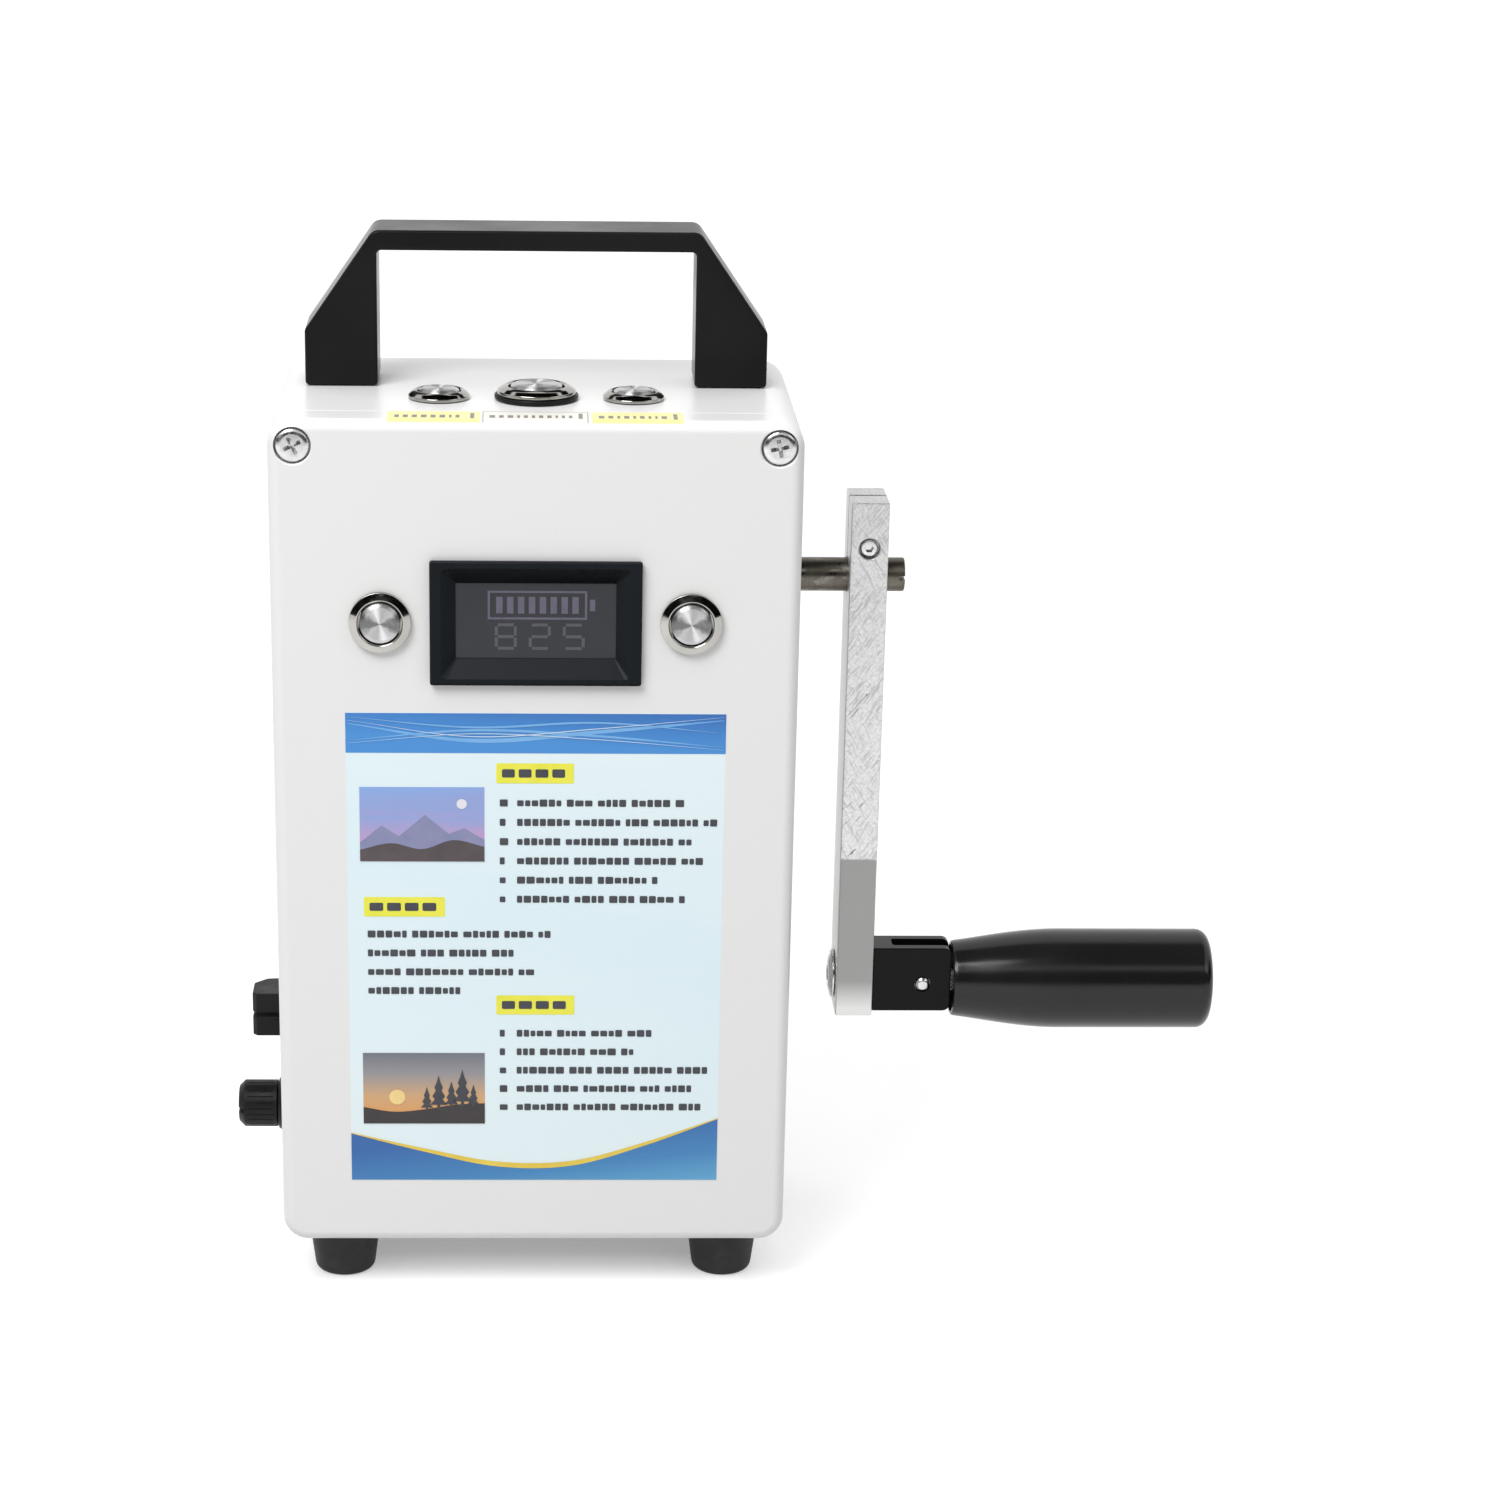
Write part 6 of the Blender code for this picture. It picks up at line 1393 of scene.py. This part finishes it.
CARRIED = {
    MILL: ["gearbox_frame", "gearbox_plate", "generator_case", "crank_gear"],
    BRASS: ["compound_gear", "grip_bushing"],
    STEEL: ["generator_rotor", "grip_spindle", "grip_screw", "handle_screw_left",
            "handle_screw_right"],
    CHROME: ["front_left_button_nut", "front_right_button_nut", "top_left_button_nut",
             "top_middle_button_nut", "top_right_button_nut"],
    STACK: ["generator_stator", "transformer"],
    BOARD: ["meter_board", "inverter_board"],
    SLEEVE: ["battery_pack"],
}


def finish_carried_nodes():
    for finish, names in CARRIED.items():
        for name in names:
            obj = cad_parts[name]
            if obj.material_slots:
                obj.material_slots[0].link = "OBJECT"
                obj.material_slots[0].material = finish
            else:
                obj.data.materials.append(finish)


# Studio: pale floor, soft lights and the camera at the photograph's angle

CAMERA_PLACE = Vector((MIDDLE_X - 0.0017, -0.8205, 0.3799))
CAMERA_YAW = radians(-1.74)
CAMERA_PITCH = radians(19.54)
CAMERA_ROLL = radians(0.74)
CAMERA_LENS = 85.85
CAMERA_SHIFT = (0.08, 0.096)
AIM = (MIDDLE_X, 0, 0.12)
WORLD_LEVEL = 0.30
# Name, place, size, power, and whether gloss shows it
LAMPS = (("key", (-0.45, -0.62, 1.0), (0.6, 0.6), 9.6, True),
         ("fill", (1.5, -1.0, 0.9), (0.8, 1.0), 3, True),
         ("top", (0.0, 0.02, 1.6), (1.2, 0.6), 7, False))
# Black cards that only mirrors see, to give bright metal its dark bands
CARDS = (("front_card", (-1.2, -0.66, 0.13), (1.2, -0.64, 0.55)),
         ("ceiling_card", (-1.4, -1.7, 2.0), (1.4, 0.7, 2.02)),
         ("side_card_left", (-1.6, -0.9, 0.0), (-1.58, 0.4, 0.7)),
         ("side_card_right", (1.6, -0.9, 0.0), (1.62, 0.4, 0.7)))
# Added to the floor for rays that see it directly: under the object, where less is added as a
# painted contact shadow, near it and far from it
FLOOR_LIFT_PAINTED_SHADOW, FLOOR_LIFT_NEAR, FLOOR_LIFT_FAR = 0.26, 0.60, 0.88
PAINTED_SHADOW_REACH = (-0.022, -0.004)
LIFT_REACH = (0.3, 2.0)
FLOOR_HALF = 8.0


def background_share(tree):
    """1 for rays that see the backdrop directly, in metal or through glass."""
    rays = add_node(tree, "LightPath", {}).outputs
    share = rays["Is Camera Ray"]
    for kind in ("Is Glossy Ray", "Is Transmission Ray"):
        share = add_node(tree, "Math", {0: share, 1: rays[kind]}, operation="MAXIMUM").outputs[0]
    return share


def build_floor():
    bm = bmesh.new()
    bmesh.ops.create_grid(bm, x_segments=1, y_segments=1, size=FLOOR_HALF)
    floor = in_scene("studio_floor", bm)
    finish = Finish("floor_white", grey(0.66), 0.75, specular=0.2)
    patches = finish.span(finish.noise(3, 3), 0.3, 0.7)
    finish.colour(finish.mix(patches, grey(0.665), grey(0.655)))
    finish.feed("Emission Color", grey(1))
    distance = finish.node("VectorMath", {0: finish.place}, operation="LENGTH").outputs["Value"]
    lift = finish.span(distance, *LIFT_REACH, FLOOR_LIFT_NEAR, FLOOR_LIFT_FAR)
    # Painted contact shadow: the lift drops under the box and fades out just inside its outline, so
    # the floor there is darker than its lamps leave it
    off_middle = finish.math("ABSOLUTE", finish.math("SUBTRACT", finish.axis("X"), MIDDLE_X))
    beyond_x = finish.math("SUBTRACT", off_middle, RIGHT_X - MIDDLE_X)
    beyond_y = finish.math("SUBTRACT", finish.math("ABSOLUTE", finish.axis("Y")), BACK_Y)
    beyond = finish.math("MAXIMUM", beyond_x, beyond_y)
    painted_shadow = finish.span(beyond, *PAINTED_SHADOW_REACH, FLOOR_LIFT_PAINTED_SHADOW - FLOOR_LIFT_NEAR, 0.0)
    lift = finish.math("ADD", lift, painted_shadow)
    finish.feed("Emission Strength", finish.math("MULTIPLY", background_share(finish.tree), lift))
    floor.data.materials.append(finish.material)


def build_cards():
    for name, low, high in CARDS:
        card = in_scene(name, block(low, high))
        finish = Finish(f"{name}_black", grey(0.01), 1.0, specular=0.0)
        card.data.materials.append(finish.material)
        card.visible_camera = False
        card.visible_diffuse = False
        card.visible_shadow = False
        card.visible_transmission = False


def build_lamps():
    for name, place, size, power, in_gloss in LAMPS:
        data = bpy.data.lights.new(name, "AREA")
        data.shape = "RECTANGLE"
        data.size, data.size_y = size
        data.energy = power
        lamp = bpy.data.objects.new(name, data)
        lamp.location = place
        toward = Vector(AIM) - Vector(place)
        lamp.rotation_euler = toward.to_track_quat("-Z", "Y").to_euler()
        lamp.visible_glossy = in_gloss
        bpy.context.scene.collection.objects.link(lamp)


def build_world():
    world = bpy.data.worlds.new("studio")
    bpy.context.scene.world = world
    world.use_nodes = True
    tree = world.node_tree
    lighting = tree.nodes["Background"]
    wire(tree, grey(1), lighting.inputs["Color"])
    wire(tree, WORLD_LEVEL, lighting.inputs["Strength"])
    backdrop = add_node(tree, "Background", {"Color": grey(1), "Strength": 1.0})
    mix = add_node(tree, "MixShader", {0: background_share(tree), 1: lighting.outputs[0],
                                       2: backdrop.outputs[0]})
    wire(tree, mix.outputs[0], tree.nodes["World Output"].inputs["Surface"])


def build_camera():
    data = bpy.data.cameras.new("camera")
    data.lens = CAMERA_LENS
    data.shift_x, data.shift_y = CAMERA_SHIFT
    data.clip_start = 0.01
    camera = bpy.data.objects.new("camera", data)
    turn = (Matrix.Rotation(CAMERA_YAW, 4, "Z") @ Matrix.Rotation(pi / 2 - CAMERA_PITCH, 4, "X")
            @ Matrix.Rotation(CAMERA_ROLL, 4, "Z"))
    camera.matrix_world = Matrix.Translation(CAMERA_PLACE) @ turn
    bpy.context.scene.collection.objects.link(camera)
    bpy.context.scene.camera = camera
    bpy.context.scene.view_settings.view_transform = "Standard"


for build in (build_housing, build_cover, build_cover_screws, build_feet, build_handle,
              build_meter, build_display, build_buttons, build_terminal, build_fuse, build_jack,
              build_usb, build_outlet, build_shaft, build_arm, build_crank_screws, build_fork,
              build_grip, build_sheet, build_streaks, build_wave, build_text, build_dusk,
              build_sunset, build_strips, finish_carried_nodes, build_floor, build_world,
              build_lamps, build_cards, build_camera):
    build()
